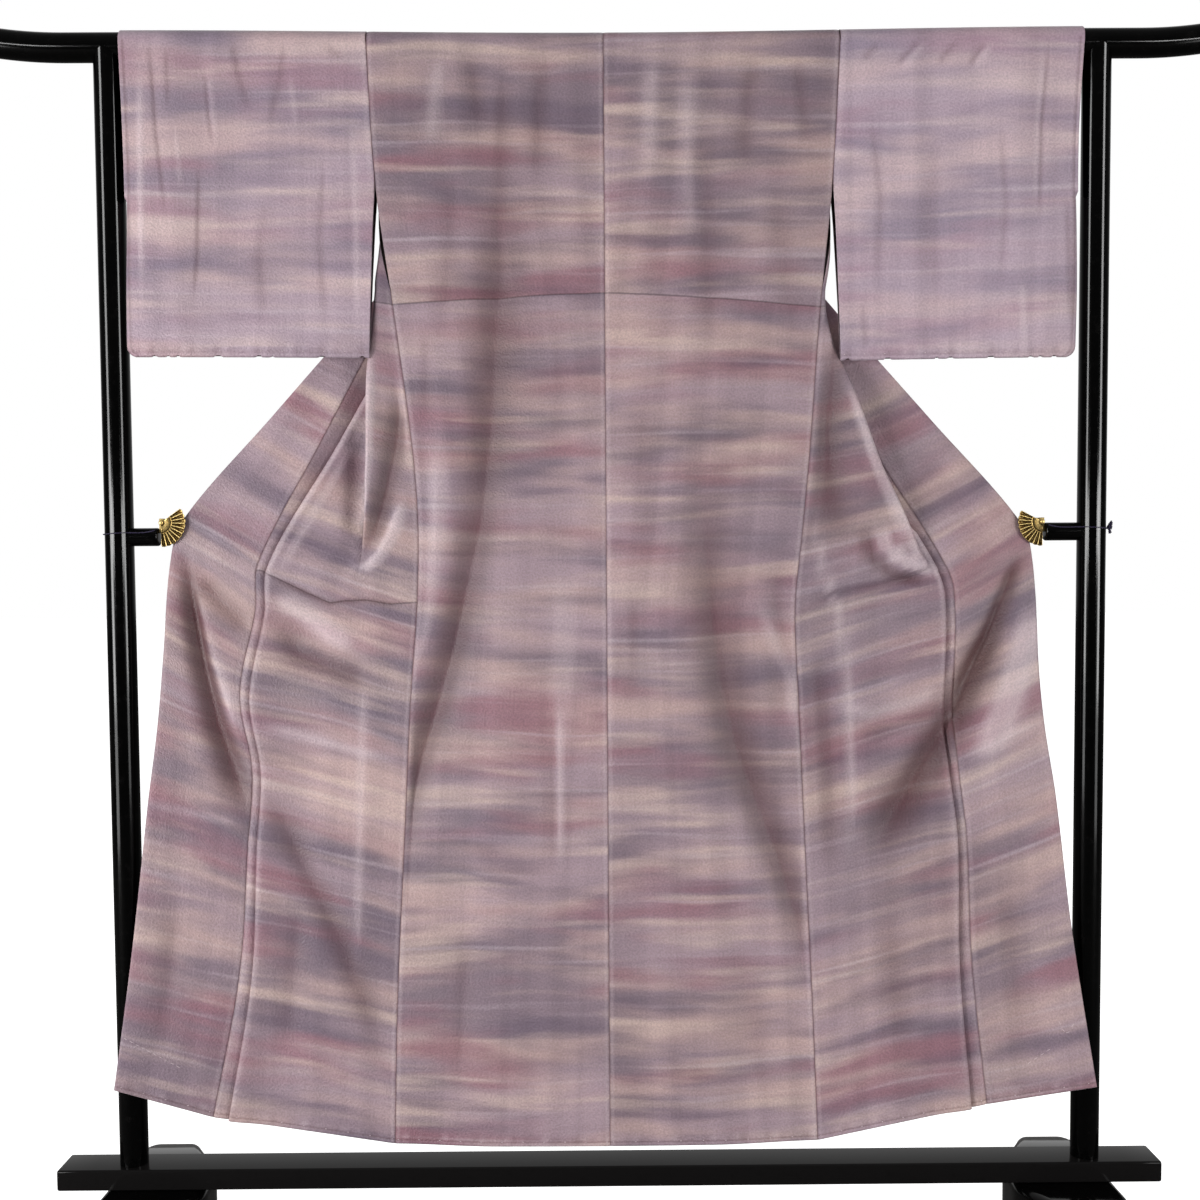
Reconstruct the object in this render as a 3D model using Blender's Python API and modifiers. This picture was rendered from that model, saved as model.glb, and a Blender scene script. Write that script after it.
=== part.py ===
"""Silk kimono on a kimono stand.

The kimono hangs over the stand's rail with its back panels to the front (-Y). Its fronts pass
behind the rail and are drawn out to both sides by two fan clips on pegs, outer silk forward.
Metres, +Z up, origin on the floor under the middle of the stand. `out` is a distance from the
middle plane, so left is x = -out and right is x = +out.
"""
import math
from collections import namedtuple

import bmesh
import bpy
from mathutils import Matrix, Vector

# ---------------------------------------------------------------- driving sizes: stand
GAP = 0.0003                 # between pieces that meet
RAIL_R = 0.0198
RAIL_Z = 1.672
RAIL_HALF = 0.920            # half length, to the round tip
RAIL_STRAIGHT = 0.750        # half length of the straight stretch
RAIL_LIFT = 0.022            # how far each tip curves up
RAIL_SAG = 0.006             # how far its middle bends down under the silk
POST_X = 0.690
POST_R = 0.0198
PEG_Z = 0.992
PEG_R = 0.0128
BEAM_TOP = 0.088
BEAM_SIZE = (1.584, 0.056, 0.030)
BEAM_BEVEL = 0.003
TIE_R = 0.0009

# Half of each foot, from the beam to its tip: inner side, outer side and height of the top.
FootRow = namedtuple("FootRow", "y inner outer top")
FOOT = [
    FootRow(0.030, 0.580, 0.728, 0.0577),
    FootRow(0.065, 0.596, 0.729, 0.0577),
    FootRow(0.100, 0.614, 0.729, 0.0560),
    FootRow(0.140, 0.634, 0.728, 0.0490),
    FootRow(0.175, 0.648, 0.725, 0.0370),
    FootRow(0.197, 0.658, 0.720, 0.0220),
    FootRow(0.206, 0.665, 0.715, 0.0080),
]

# Fan clips: out of the peg's inner end, height of the fan's pivot, top edge in degrees.
Clip = namedtuple("Clip", "tip pivot_z top_angle")
CLIPS = {"left": Clip(0.6330, 1.012, 36.0), "right": Clip(0.6225, 1.006, 28.0)}

# ---------------------------------------------------------------- driving sizes: garment
SILK = 0.0015                # outer silk and lining together
COLLAR_THICK = 0.0020
OVER_THICK = 0.0010
WRAP_R = RAIL_R + 0.0007 + SILK / 2      # middle of the cloth where it lies on the rail
QUARTER = WRAP_R * math.pi / 2           # cloth from the shoulder fold to the rail's side
LENGTH = 1.584               # shoulder to hem
ATTACH = 0.235               # shoulder to the end of the sleeve's seam on the body
UNDERARM = 0.370             # shoulder to the top of the side seam
CLIP = 0.850                 # shoulder to the clip's level, along the cloth
POINT = 0.325                # shoulder to the tip of the overlap panel
FRONT_WIDTH = 0.245
NECK_HALF = 0.088
NECK_ANGLE = math.radians(45)       # the neck seam lies this far past the rail's top
SLEEVE_BOTTOM = {"left": 1.243, "right": 1.236}
SLEEVE_FORWARD = -0.0160     # y of its far layer at the bottom fold, in front of the fronts
CUFF_BOTTOM = 1.462          # the cuff is open above this height
SLEEVE_CORNER = 0.014
COLLAR_WIDTH = 0.058
OVER_HALF = 0.45             # half length of the over-collar

SIDES = (("left", -1), ("right", 1))

# Outer edge of the back panel: shoulder end, armhole, then side seam.
SeamRow = namedtuple("SeamRow", "z left right depth")
SEAM = [
    SeamRow(0.120, 0.310, 0.300, -0.0120),
    SeamRow(0.330, 0.3035, 0.2915, -0.0120),
    SeamRow(0.570, 0.290, 0.280, -0.0125),
    SeamRow(0.760, 0.279, 0.2715, -0.0130),
    SeamRow(0.890, 0.2685, 0.2665, -0.0135),
    SeamRow(1.000, 0.265, 0.277, -0.0135),
    SeamRow(1.110, 0.271, 0.287, -0.0135),
    SeamRow(1.310, 0.2955, 0.3015, -0.0145),
    SeamRow(1.485, 0.3175, 0.3175, -0.0205),
    SeamRow(1.700, 0.328, 0.328, -WRAP_R),
]

# Inner edge of each front panel, where the overlap panel or the collar is sewn on.
# reach: cloth distance from the shoulder; depth: y of the cloth there.
EdgeRow = namedtuple("EdgeRow", "reach left left_z right right_z depth")
FRONT_EDGE = [
    EdgeRow(0.034, 0.0880, 1.6720, 0.0880, 1.6720, WRAP_R),
    EdgeRow(0.085, 0.1080, 1.6280, 0.1050, 1.6280, 0.0340),
    EdgeRow(0.140, 0.1370, 1.5790, 0.1310, 1.5780, 0.0400),
    EdgeRow(0.230, 0.1900, 1.4980, 0.1820, 1.4950, 0.0340),
    EdgeRow(0.325, 0.2540, 1.4100, 0.2470, 1.4050, 0.0230),
    EdgeRow(0.510, 0.3430, 1.2420, 0.3250, 1.2400, 0.0110),
    EdgeRow(0.630, 0.4030, 1.1300, 0.3820, 1.1120, 0.0070),
    EdgeRow(0.815, 0.4950, 0.9560, 0.4860, 0.9410, 0.0020),
    EdgeRow(0.880, 0.5000, 0.8910, 0.4970, 0.8840, 0.0010),
    EdgeRow(1.000, 0.5240, 0.7680, 0.4960, 0.7610, -0.0010),
    EdgeRow(1.100, 0.5090, 0.6650, 0.5020, 0.6600, -0.0030),
    EdgeRow(1.200, 0.5150, 0.5620, 0.5140, 0.5600, -0.0050),
    EdgeRow(1.385, 0.5300, 0.3680, 0.5220, 0.3750, -0.0090),
    EdgeRow(1.584, 0.5710, 0.1590, 0.5440, 0.1690, -0.0120),
]
# Outer edge of each overlap panel: taut from its tip to the clip, then hanging to the hem.
OVERLAP_EDGE = [
    EdgeRow(0.325, 0.2560, 1.4110, 0.2490, 1.4060, 0.0230),
    EdgeRow(0.510, 0.3845, 1.2640, 0.3680, 1.2620, 0.0120),
    EdgeRow(0.630, 0.4710, 1.1650, 0.4620, 1.1540, 0.0080),
    EdgeRow(0.815, 0.6000, 1.0160, 0.5900, 1.0050, 0.0010),
    EdgeRow(0.880, 0.6190, 0.9560, 0.6070, 0.9480, 0.0000),
    EdgeRow(1.000, 0.6310, 0.8230, 0.6140, 0.8200, -0.0030),
    EdgeRow(1.100, 0.6400, 0.7220, 0.6200, 0.7200, -0.0080),
    EdgeRow(1.200, 0.6530, 0.6150, 0.6400, 0.6150, -0.0160),
    EdgeRow(1.385, 0.6770, 0.4080, 0.6600, 0.4230, -0.0250),
    EdgeRow(1.584, 0.7070, 0.2050, 0.6970, 0.1980, -0.0270),
]

# How far the near layer of each front reaches past the side seam before it folds back.
FoldRow = namedtuple("FoldRow", "reach left right")
NEAR_LAYER = [
    FoldRow(0.034, 0.010, 0.010),
    FoldRow(0.306, 0.011, 0.010),
    FoldRow(0.390, 0.026, 0.010),
    FoldRow(0.450, 0.040, 0.023),
    FoldRow(0.490, 0.050, 0.042),
    FoldRow(0.630, 0.068, 0.102),
    FoldRow(0.700, 0.074, 0.138),
    FoldRow(0.770, 0.081, 0.172),
    FoldRow(0.860, 0.086, 0.205),
    FoldRow(1.584, 0.100, 0.205),
]

# Sleeve ends: inner edge below the body seam, and the outer (cuff) edge.
SleeveRow = namedtuple("SleeveRow", "z inner left_cuff right_cuff")
SLEEVE = [
    SleeveRow(1.236, 0.3290, 0.6650, 0.6560),
    SleeveRow(1.330, 0.3255, 0.6655, 0.6590),
    SleeveRow(1.420, 0.3215, 0.6640, 0.6590),
    SleeveRow(1.485, 0.3182, 0.6640, 0.6580),
    SleeveRow(1.560, 0.3222, 0.6650, 0.6590),
    SleeveRow(1.700, 0.3287, 0.6690, 0.6670),
]

# The large soft folds, as straight troughs (depth > 0, away from the front) and ridges.
Crease = namedtuple("Crease", "x0 z0 x1 z1 width depth")
CREASES = [
    Crease(-0.600, 0.965, -0.528, 0.624, 0.018, 0.009),
    Crease(-0.580, 0.949, -0.516, 0.779, 0.012, 0.006),
    Crease(-0.477, 0.853, -0.417, 0.800, 0.022, 0.005),
    Crease(-0.417, 0.800, -0.289, 0.780, 0.022, 0.005),
    Crease(-0.482, 0.616, -0.374, 0.440, 0.026, 0.007),
    Crease(-0.374, 0.440, -0.304, 0.248, 0.024, 0.006),
    Crease(0.590, 0.962, 0.491, 0.751, 0.020, 0.010),
    Crease(0.491, 0.751, 0.413, 0.609, 0.024, 0.007),
    Crease(0.279, 0.950, 0.339, 0.800, 0.020, -0.005),
    Crease(0.087, 1.318, 0.087, 0.950, 0.030, 0.004),
    Crease(0.211, 0.638, 0.292, 0.377, 0.024, 0.006),
    Crease(-0.105, 1.500, -0.130, 1.140, 0.035, 0.003),
]

COLOURS = {
    "crepe_silk": (0.40, 0.31, 0.34, 0.55, 0.0),
    "black_lacquer": (0.012, 0.011, 0.011, 0.12, 0.0),
    "gilt_brass": (0.62, 0.43, 0.14, 0.28, 1.0),
    "purple_cord": (0.10, 0.05, 0.16, 0.8, 0.0),
}


# ---------------------------------------------------------------- scene helpers
def clear_scene():
    """Empty the startup scene, so that only the kimono and its stand are left."""
    for old in list(bpy.data.objects):
        bpy.data.objects.remove(old)


def new_collection(name):
    """Return a new collection linked to the scene."""
    collection = bpy.data.collections.new(name)
    bpy.context.scene.collection.children.link(collection)
    return collection


def material(name):
    """Return the named finish, made on first use."""
    found = bpy.data.materials.get(name)
    if found:
        return found
    red, green, blue, roughness, metallic = COLOURS[name]
    made = bpy.data.materials.new(name)
    made.use_nodes = True
    shader = made.node_tree.nodes["Principled BSDF"]
    shader.inputs["Base Color"].default_value = (red, green, blue, 1.0)
    shader.inputs["Roughness"].default_value = roughness
    shader.inputs["Metallic"].default_value = metallic
    made.diffuse_color = (red, green, blue, 1.0)
    return made


def add_object(name, data, collection, finish=None):
    """Put a mesh or curve in a collection as a named object."""
    made = bpy.data.objects.new(name, data)
    collection.objects.link(made)
    if finish:
        data.materials.append(material(finish))
    return made


def from_bmesh(name, bm, collection, finish=None, smooth_angle=None):
    """Turn a bmesh into an object, shaded smooth where its edges are soft."""
    bmesh.ops.recalc_face_normals(bm, faces=bm.faces)
    mesh = bpy.data.meshes.new(name)
    bm.to_mesh(mesh)
    bm.free()
    if smooth_angle is not None:
        mesh.shade_smooth()
        mesh.set_sharp_from_angle(angle=math.radians(smooth_angle))
    return add_object(name, mesh, collection, finish)


def cut(target, cutter):
    """Subtract a cutter from an object with a live Boolean."""
    cutter.hide_render = True
    cutter.display_type = "WIRE"
    modifier = target.modifiers.new("cope", "BOOLEAN")
    modifier.operation = "DIFFERENCE"
    modifier.object = cutter


def read_curve(table, column, at, key):
    """Smooth value of one table column: cubic through its rows, flat past its ends."""
    xs = [getattr(row, key) for row in table]
    ys = [getattr(row, column) for row in table]
    if at <= xs[0]:
        return ys[0]
    if at >= xs[-1]:
        return ys[-1]
    last = len(xs) - 1
    i = next(n for n in range(last) if xs[n + 1] >= at)
    span = xs[i + 1] - xs[i]
    slopes = []
    for n in (i, i + 1):
        before, after = max(n - 1, 0), min(n + 1, last)
        slopes.append((ys[after] - ys[before]) / (xs[after] - xs[before]) * span)
    t = (at - xs[i]) / span
    start = (2 * t**3 - 3 * t**2 + 1) * ys[i] + (t**3 - 2 * t**2 + t) * slopes[0]
    end = (3 * t**2 - 2 * t**3) * ys[i + 1] + (t**3 - t**2) * slopes[1]
    return start + end


def ease(t):
    """Smooth step from 0 to 1."""
    t = min(max(t, 0.0), 1.0)
    return t * t * (3 - 2 * t)


def mix(a, b, t):
    """Value t of the way from a to b."""
    return a + (b - a) * t


# ---------------------------------------------------------------- the cloth's reference lines
def rail_sag(out):
    """How far the rail, and all the cloth on it, hangs down between the posts."""
    return RAIL_SAG * (1 + math.cos(math.pi * min(abs(out) / POST_X, 1.0))) / 2


def hang_height(reach):
    """Height of cloth hanging plumb from the rail, reach metres from the shoulder fold."""
    return RAIL_Z + QUARTER - reach


def seam_out(side, z):
    """Half width of the back panel at height z."""
    return read_curve(SEAM, side, z, "z")


def seam_depth(z):
    """y of the side seam at height z."""
    return read_curve(SEAM, "depth", z, "z")


def edge_point(table, side, reach):
    """(out, y, z) on the front panel's or overlap panel's edge."""
    out = read_curve(table, side, reach, "reach")
    depth = read_curve(table, "depth", reach, "reach")
    return out, depth, read_curve(table, side + "_z", reach, "reach")


def far_sleeve_depth(z):
    """y of the far layer of the sleeve, which leans forward from the rail to its bottom fold."""
    t = (RAIL_Z - z) / (RAIL_Z - SLEEVE_BOTTOM["left"])
    return mix(WRAP_R, SLEEVE_FORWARD, min(max(t, 0.0), 1.0))


def crease_depth(x, z):
    """Sum of the large folds at a place on the cloth."""
    total = 0.0
    for row in CREASES:
        run = Vector((row.x1 - row.x0, row.z1 - row.z0))
        place = Vector((x - row.x0, z - row.z0))
        along = place.dot(run) / run.length_squared
        nearest = min(max(along, 0.0), 1.0)
        miss = (place - run * nearest).length
        total += row.depth * math.exp(-((miss / row.width) ** 2))
    return total


def below_clip(reach):
    """How far the large folds have grown: none above the clip, all of them 60 mm below."""
    return ease((reach - CLIP - 0.005) / 0.06)


# ---------------------------------------------------------------- body panels
NEAR_COLUMNS = 10            # side edge to neck line, and side edge to front edge
NECK_COLUMNS = 2             # neck line to centre-back seam
SMALL_BEND = 0.003           # half of the cloth taken by the visible fold's nose
LARGE_BEND = 0.008           # and by the hidden fold's
LEAST_MIDDLE = 0.024
LEAST_FAR = 0.036
LAYER_STEP = 0.005           # near layer to middle layer
STORED_FOLD = 0.016          # old crease beside the overlap seam
STORED_DEPTH = 0.003
FOLD_CLOSES = (0.70, 0.84)   # reach over which the threefold layers run out
UNROLLS = 0.10               # cloth below the rail's side over which the layers form
SEAM_LEAN = 0.15             # width over which the back leans towards its side seam


def back_row(side, reach):
    """One row of the hanging back panel: (out, y, z) from side edge to centre-back seam."""
    z = hang_height(reach)
    edge = seam_out(side, z)
    sign = dict(SIDES)[side]
    outs = [mix(edge, NECK_HALF, n / NEAR_COLUMNS) for n in range(NEAR_COLUMNS + 1)]
    outs += [mix(NECK_HALF, GAP / 2, (n + 1) / NECK_COLUMNS) for n in range(NECK_COLUMNS)]
    row = []
    for out in outs:
        lean = ease(1 - (edge - out) / SEAM_LEAN)
        depth = mix(-WRAP_R, seam_depth(z), lean)
        inner = ease((edge - out) / 0.03) * ease((reach - QUARTER) / 0.1)
        depth += inner * crease_depth(sign * out, z)
        row.append((out, depth, z))
    return row


def front_row(side, reach):
    """One row of the front panel, folded in three between side seam and overlap seam.

    The near layer runs out from the side seam, the middle layer back in behind it, and the
    far layer out again to the front edge. The fold closes towards the clip, and near the
    shoulder the middle layer alone is left, hanging flat behind the rail.
    """
    sign = dict(SIDES)[side]
    z_seam = hang_height(reach)
    free = ease((reach - ATTACH) / (UNDERARM - ATTACH))
    slit = math.sin(math.pi * min(max((reach - ATTACH) / (UNDERARM - ATTACH), 0), 1))
    out_seam = seam_out(side, z_seam) + 0.005 * slit
    y_seam = mix(far_sleeve_depth(z_seam), seam_depth(z_seam), free)
    out_edge, y_edge, z_edge = edge_point(FRONT_EDGE, side, reach)
    direct = out_edge - out_seam
    closing = (reach - FOLD_CLOSES[0]) / (FOLD_CLOSES[1] - FOLD_CLOSES[0])
    slack = max(FRONT_WIDTH - direct, 0.0) * (1 - ease(closing))
    turn = mix(-1.0, 1.0, free)
    near = read_curve(NEAR_LAYER, side, reach, "reach")
    middle = max((slack - near * (1 - turn)) / 2, LEAST_MIDDLE)
    far = direct + slack - near - middle
    tip = direct - max(far, LEAST_FAR)
    flat = 1 - ease((reach - QUARTER) / UNROLLS)
    if flat > 0:
        tip = direct + LEAST_FAR * (2 * flat - 1)
    heading = (tip - turn * near) / middle
    folded = min(max((1 - heading) / 2, 0.0), 1.0)
    y_middle = y_seam + min(LAYER_STEP, 0.4 * max(y_edge - y_seam, 0.0))
    turned = min(max((direct - tip) / LEAST_FAR, 0.0), 1.0)
    y_far = mix(y_middle, y_edge, turned)
    middle_end = min(LARGE_BEND / middle, 0.3)
    far_start = min(LARGE_BEND / max(far, LEAST_FAR), 0.3)
    far_end = 1 - STORED_FOLD / max(far, LEAST_FAR)
    far_middle = (far_start + far_end) / 2

    def on_middle(t):
        """Progress along the middle layer, from the visible fold to the hidden one."""
        return mix(turn * near, tip, t)

    def on_far(t):
        """Progress along the far layer, from the hidden fold to the front edge."""
        return mix(tip, direct, t)

    total = near + middle + max(far, LEAST_FAR)
    turn_back = near + middle
    rows = [
        (0.0, 0.0, y_seam),
        (near - SMALL_BEND, turn * (near - SMALL_BEND), y_seam),
        (near, turn * near, (y_seam + y_middle) / 2),
        (near + SMALL_BEND, on_middle(SMALL_BEND / middle), y_middle),
        (near + middle / 2, on_middle(0.5), y_middle),
        (mix(near, turn_back, 1 - middle_end), on_middle(1 - middle_end), y_middle),
        (turn_back, tip, (y_middle + y_far) / 2),
        (mix(turn_back, total, far_start), on_far(far_start), mix(y_far, y_edge, far_start)),
        (mix(turn_back, total, far_middle), on_far(far_middle), mix(y_far, y_edge, far_middle)),
        (total - STORED_FOLD, on_far(far_end), mix(y_far, y_edge, far_end)),
        (total, direct, y_edge),
    ]
    row = []
    stored = STORED_DEPTH * ease((reach - 0.40) / 0.15)
    for n, (cloth, progress, layer) in enumerate(rows):
        across = cloth / total
        out = out_seam + progress
        z = mix(z_seam, z_edge, across)
        y = mix(mix(y_seam, y_edge, across), layer, folded)
        y += crease_depth(sign * out, z) * ease(across / 0.1) * below_clip(reach)
        if n == NEAR_COLUMNS - 1:
            y -= stored
        row.append((out, y, z))
    return row


def wall_object(name, points, faces, sign, collection, finish, thickness, offset=0.0):
    """Closed wall of cloth: a faced surface of (out, y, z) points, thickened by Solidify.

    Faces are listed for the right side, outer silk by the right-hand rule, and are turned
    round for the mirrored left side.
    """
    mesh = bpy.data.meshes.new(name)
    places = [(sign * out, y, z - rail_sag(out)) for out, y, z in points]
    turned = faces if sign > 0 else [tuple(reversed(face)) for face in faces]
    mesh.from_pydata(places, [], turned)
    mesh.validate()
    mesh.shade_smooth()
    made = add_object(name, mesh, collection, finish)
    wall = made.modifiers.new("wall", "SOLIDIFY")
    wall.thickness = thickness
    wall.offset = offset
    return made


def grid_faces(ids):
    """Quads between neighbouring rows of vertex numbers, up to the shorter row's end."""
    faces = []
    for upper, lower in zip(ids, ids[1:]):
        for a in range(min(len(upper), len(lower)) - 1):
            quad = (upper[a], upper[a + 1], lower[a + 1], lower[a])
            faces.append(tuple(dict.fromkeys(quad)))
    return [face for face in faces if len(face) > 2]


def reaches():
    """Cloth distances from the shoulder at which the body has rows."""
    spans = [
        (QUARTER, ATTACH, 4), (ATTACH, UNDERARM, 3), (UNDERARM, CLIP, 10), (CLIP, LENGTH, 9),
    ]
    values = [QUARTER]
    for start, end, count in spans:
        values += [mix(start, end, (n + 1) / count) for n in range(count)]
    return values


RAIL_STEPS = 8               # facets of the cloth where it bends over the rail


def over_rail_row(near_row, far_row, step):
    """Row of the body where it lies on the rail, with the neck part only up to its seam."""
    angle = -math.pi / 2 + math.pi * step / RAIL_STEPS
    y, z = WRAP_R * math.sin(angle), RAIL_Z + WRAP_R * math.cos(angle)
    row = []
    for n, point in enumerate(near_row):
        if n <= NEAR_COLUMNS:
            row.append((mix(point[0], far_row[n][0], step / RAIL_STEPS), y, z))
        elif angle < NECK_ANGLE + 1e-6:
            row.append((point[0], y, z))
    return row


def body_panel(side, sign, collection):
    """Back and front in one length over the shoulder, joined down the side seam."""
    levels = reaches()
    near = [back_row(side, reach) for reach in levels]
    far = [front_row(side, reach) for reach in levels]
    rail = [over_rail_row(near[0], far[0], step) for step in range(1, RAIL_STEPS)]
    rows = near[::-1] + rail + far
    points, ids = [], []
    for row in rows:
        ids.append(list(range(len(points), len(points) + len(row))))
        points += row
    for n, reach in enumerate(levels):
        if reach >= UNDERARM - 1e-6:
            ids[len(ids) - len(levels) + n][0] = ids[len(levels) - 1 - n][0]
    faces = grid_faces(ids)
    return wall_object(
        "body_" + side, points, faces, sign, collection, "crepe_silk", SILK)


# ---------------------------------------------------------------- sleeves
SLEEVE_OUTS = (0.0, 0.28, 0.55, 0.80, 0.965, 1.0)
SLEEVE_ROWS = 9


def sleeve_row(side, y, z, fold=False):
    """One row across the sleeve; the bottom fold's outer corner is rounded off."""
    inner = read_curve(SLEEVE, "inner", z, "z")
    inner = max(inner, seam_out(side, z) + 0.0005) if z > hang_height(ATTACH) else inner
    cuff = read_curve(SLEEVE, side + "_cuff", z, "z")
    row = [(mix(inner, cuff, t), y, z) for t in SLEEVE_OUTS]
    if fold:
        out, y, z = row[-1]
        row[-1] = (out - SLEEVE_CORNER / 3, y, z + SLEEVE_CORNER / 3)
    return row


def sleeve(side, sign, collection):
    """A bag round the rail: near and far layers, closed at the bottom and below the cuff."""
    inside = SILK / 2        # the layers are drawn on the bag's inner faces and thickened out
    radius = WRAP_R - inside
    low = SLEEVE_BOTTOM[side]
    heights = [mix(low, CUFF_BOTTOM, n / 5) for n in range(1, 5)] + [CUFF_BOTTOM]
    count = SLEEVE_ROWS - len(heights)
    heights += [mix(CUFF_BOTTOM, RAIL_Z, n / count) for n in range(1, count + 1)]
    middle = (SLEEVE_FORWARD - inside - radius) / 2
    bottom = sleeve_row(side, middle, low, fold=True)
    near = [sleeve_row(side, -radius, z) for z in heights]
    far = [sleeve_row(side, far_sleeve_depth(z) - inside, z) for z in heights]
    over = []
    for step in range(1, RAIL_STEPS):
        angle = -math.pi / 2 + math.pi * step / RAIL_STEPS
        place = radius * math.sin(angle), RAIL_Z + radius * math.cos(angle)
        over.append(sleeve_row(side, *place))
    rows = [bottom] + near + over + far[::-1]
    points, ids = [], []
    for row in rows:
        ids.append(list(range(len(points), len(points) + len(row))))
        points += row
    ids.append(list(ids[0]))
    for n, z in enumerate(heights):
        if z < CUFF_BOTTOM - 1e-6:
            front, back = 1 + n, len(rows) - 1 - n
            corner = ids[front][-1]
            x, y, height = points[corner]
            points[corner] = (x, (y + points[ids[back][-1]][1]) / 2, height)
            ids[back][-1] = corner
    faces = grid_faces(ids)
    return wall_object(
        "sleeve_" + side, points, faces, sign, collection, "crepe_silk", SILK, offset=1.0)


# ---------------------------------------------------------------- overlap panels and collar
SEAM_ROOM = 0.0009           # gap at the overlap seam, with room for the walls' corners


def overlap_row(side, sign, reach):
    """One row of the overlap panel, from its seam to its outer edge."""
    inner = Vector(edge_point(FRONT_EDGE, side, reach))
    outer = Vector(edge_point(OVERLAP_EDGE, side, reach))
    row = []
    for t in (0.0, 0.36, 0.7, 1.0):
        out, y, z = inner.lerp(outer, t)
        y += below_clip(reach) * crease_depth(sign * out, z)
        row.append(Vector((out, y, z)))
    row[0] += (row[1] - row[0]).normalized() * SEAM_ROOM
    return row


def overlap_panel(side, sign, collection):
    """The narrow panel outside the front: a tapered tip, the clip's pull, a free lower edge."""
    rows = [overlap_row(side, sign, reach) for reach in reaches() if reach > POINT + 0.01]
    tip = Vector(edge_point(FRONT_EDGE, side, POINT))
    rows.insert(0, [place.lerp(tip, 0.55) for place in rows[0]])
    width = len(rows[0])
    points = [tuple(place) for row in rows for place in row]
    ids = [list(range(n * width, (n + 1) * width)) for n in range(len(rows))]
    return wall_object(
        "okumi_" + side, points, grid_faces(ids), sign, collection, "crepe_silk", SILK)


Station = namedtuple("Station", "seam across curl")
NECK_STAND_OFF = 0.0030      # collar behind the front's edge beside the neck
CURL = 0.0038                # how far the collar is turned back behind the overlap panel
COLLAR_STEPS = (0.0, 0.05, 0.10, 0.20, 0.30, 0.62, 1.0)
COLLAR_WRAP_R = RAIL_R + 0.0015 + COLLAR_THICK / 2   # clears the rail between its facets


NECK_STATIONS = [             # out from the centre, degrees its rows lean in from straight down
    (0.000, 0.0), (0.040, 22.0), (0.080, 42.0),
]
ARM_LEAN = (46.0, 90.0)      # most the rows lean just below the neck, and past ARM_TURNED
ARM_TURNED = 0.36


def neck_point(out, run):
    """Collar point where it lies on the rail, run metres below the neck seam."""
    radius = COLLAR_WRAP_R
    angle = NECK_ANGLE + (run + GAP + 0.0005) / radius
    if angle < math.pi / 2:
        return Vector((out, radius * math.sin(angle), RAIL_Z + radius * math.cos(angle)))
    return Vector((out, radius, RAIL_Z - radius * (angle - math.pi / 2)))


def collar_stations(side):
    """Points and directions of the collar's seam from the neck's middle to the clip."""
    levels = [0.050, 0.085, 0.130, 0.180, 0.235, 0.280, 0.325]
    levels += [reach for reach in reaches() if POINT + 0.01 < reach < CLIP - 0.01]
    seams = []
    for reach in levels:
        table = FRONT_EDGE if reach <= POINT else OVERLAP_EDGE
        seams.append(Vector(edge_point(table, side, reach)))
    stations = []
    for n, seam in enumerate(seams):
        before = seams[n - 1] if n else neck_point(NECK_HALF, 0.0)
        after = seams[min(n + 1, len(seams) - 1)]
        run = after - before
        most = mix(ARM_LEAN[0], ARM_LEAN[1], levels[n] / ARM_TURNED)
        lean = min(math.atan2(abs(run.z), abs(run.x)), math.radians(most))
        inward = Vector((-math.sin(lean), 0.0, -math.cos(lean)))
        stations.append(Station(seam, inward, ease((levels[n] - 0.03) / 0.09)))
    return stations


def collar_row(station):
    """Points across the collar: a curl round the seam edge, then flat behind the front."""
    row = []
    for t in COLLAR_STEPS:
        angle = math.pi * min(t / 0.10, 1.0)
        curl = station.curl * CURL / 2
        flat = max(t - 0.10, 0.0) * COLLAR_WIDTH
        reach = (SILK / 2 + GAP + 0.0004) * station.curl + curl * math.sin(angle)
        back = curl * (1 - math.cos(angle))
        plain = (1 - station.curl) * t * 0.1 * COLLAR_WIDTH
        place = station.seam - station.across * reach + station.across * (flat + plain)
        place.y += back + (1 - station.curl) * NECK_STAND_OFF
        row.append(place)
    return row


def collar_rows():
    """Rows of the whole collar in world space, from the right clip over the neck to the left."""
    half = []
    for out, degrees in NECK_STATIONS:
        inward, down = math.sin(math.radians(degrees)), math.cos(math.radians(degrees))
        runs = [t * COLLAR_WIDTH for t in COLLAR_STEPS]
        half.append([neck_point(out - run * inward, run * down) for run in runs])
    middle = half[::-1] + [[Vector((-p.x, p.y, p.z)) for p in row] for row in half[1:]]
    arms = []
    for side, sign in SIDES:
        rows = [collar_row(station) for station in collar_stations(side)]
        arms.append([[Vector((sign * p.x, p.y, p.z)) for p in row] for row in rows])
    return arms[1][::-1] + middle + arms[0]


def collar_wall(name, rows, collection, thickness):
    """Closed wall through collar rows, outer silk to the back."""
    width = len(rows[0])
    points = [tuple(point) for row in rows for point in row]
    ids = [list(range(n * width, (n + 1) * width)) for n in range(len(rows))]
    return wall_object(name, points, grid_faces(ids), 1, collection, "crepe_silk", thickness)


def moved_out(rows, distance):
    """Rows moved off the surface along its vertex normals, on its outer (back) side."""
    width = len(rows[0])
    ids = [list(range(n * width, (n + 1) * width)) for n in range(len(rows))]
    mesh = bpy.data.meshes.new("normals")
    mesh.from_pydata([point for row in rows for point in row], [], grid_faces(ids))
    normals = [item.vector.copy() for item in mesh.vertex_normals]
    bpy.data.meshes.remove(mesh)
    return [[point + normals[n * width + k] * distance for k, point in enumerate(row)]
            for n, row in enumerate(rows)]


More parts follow.
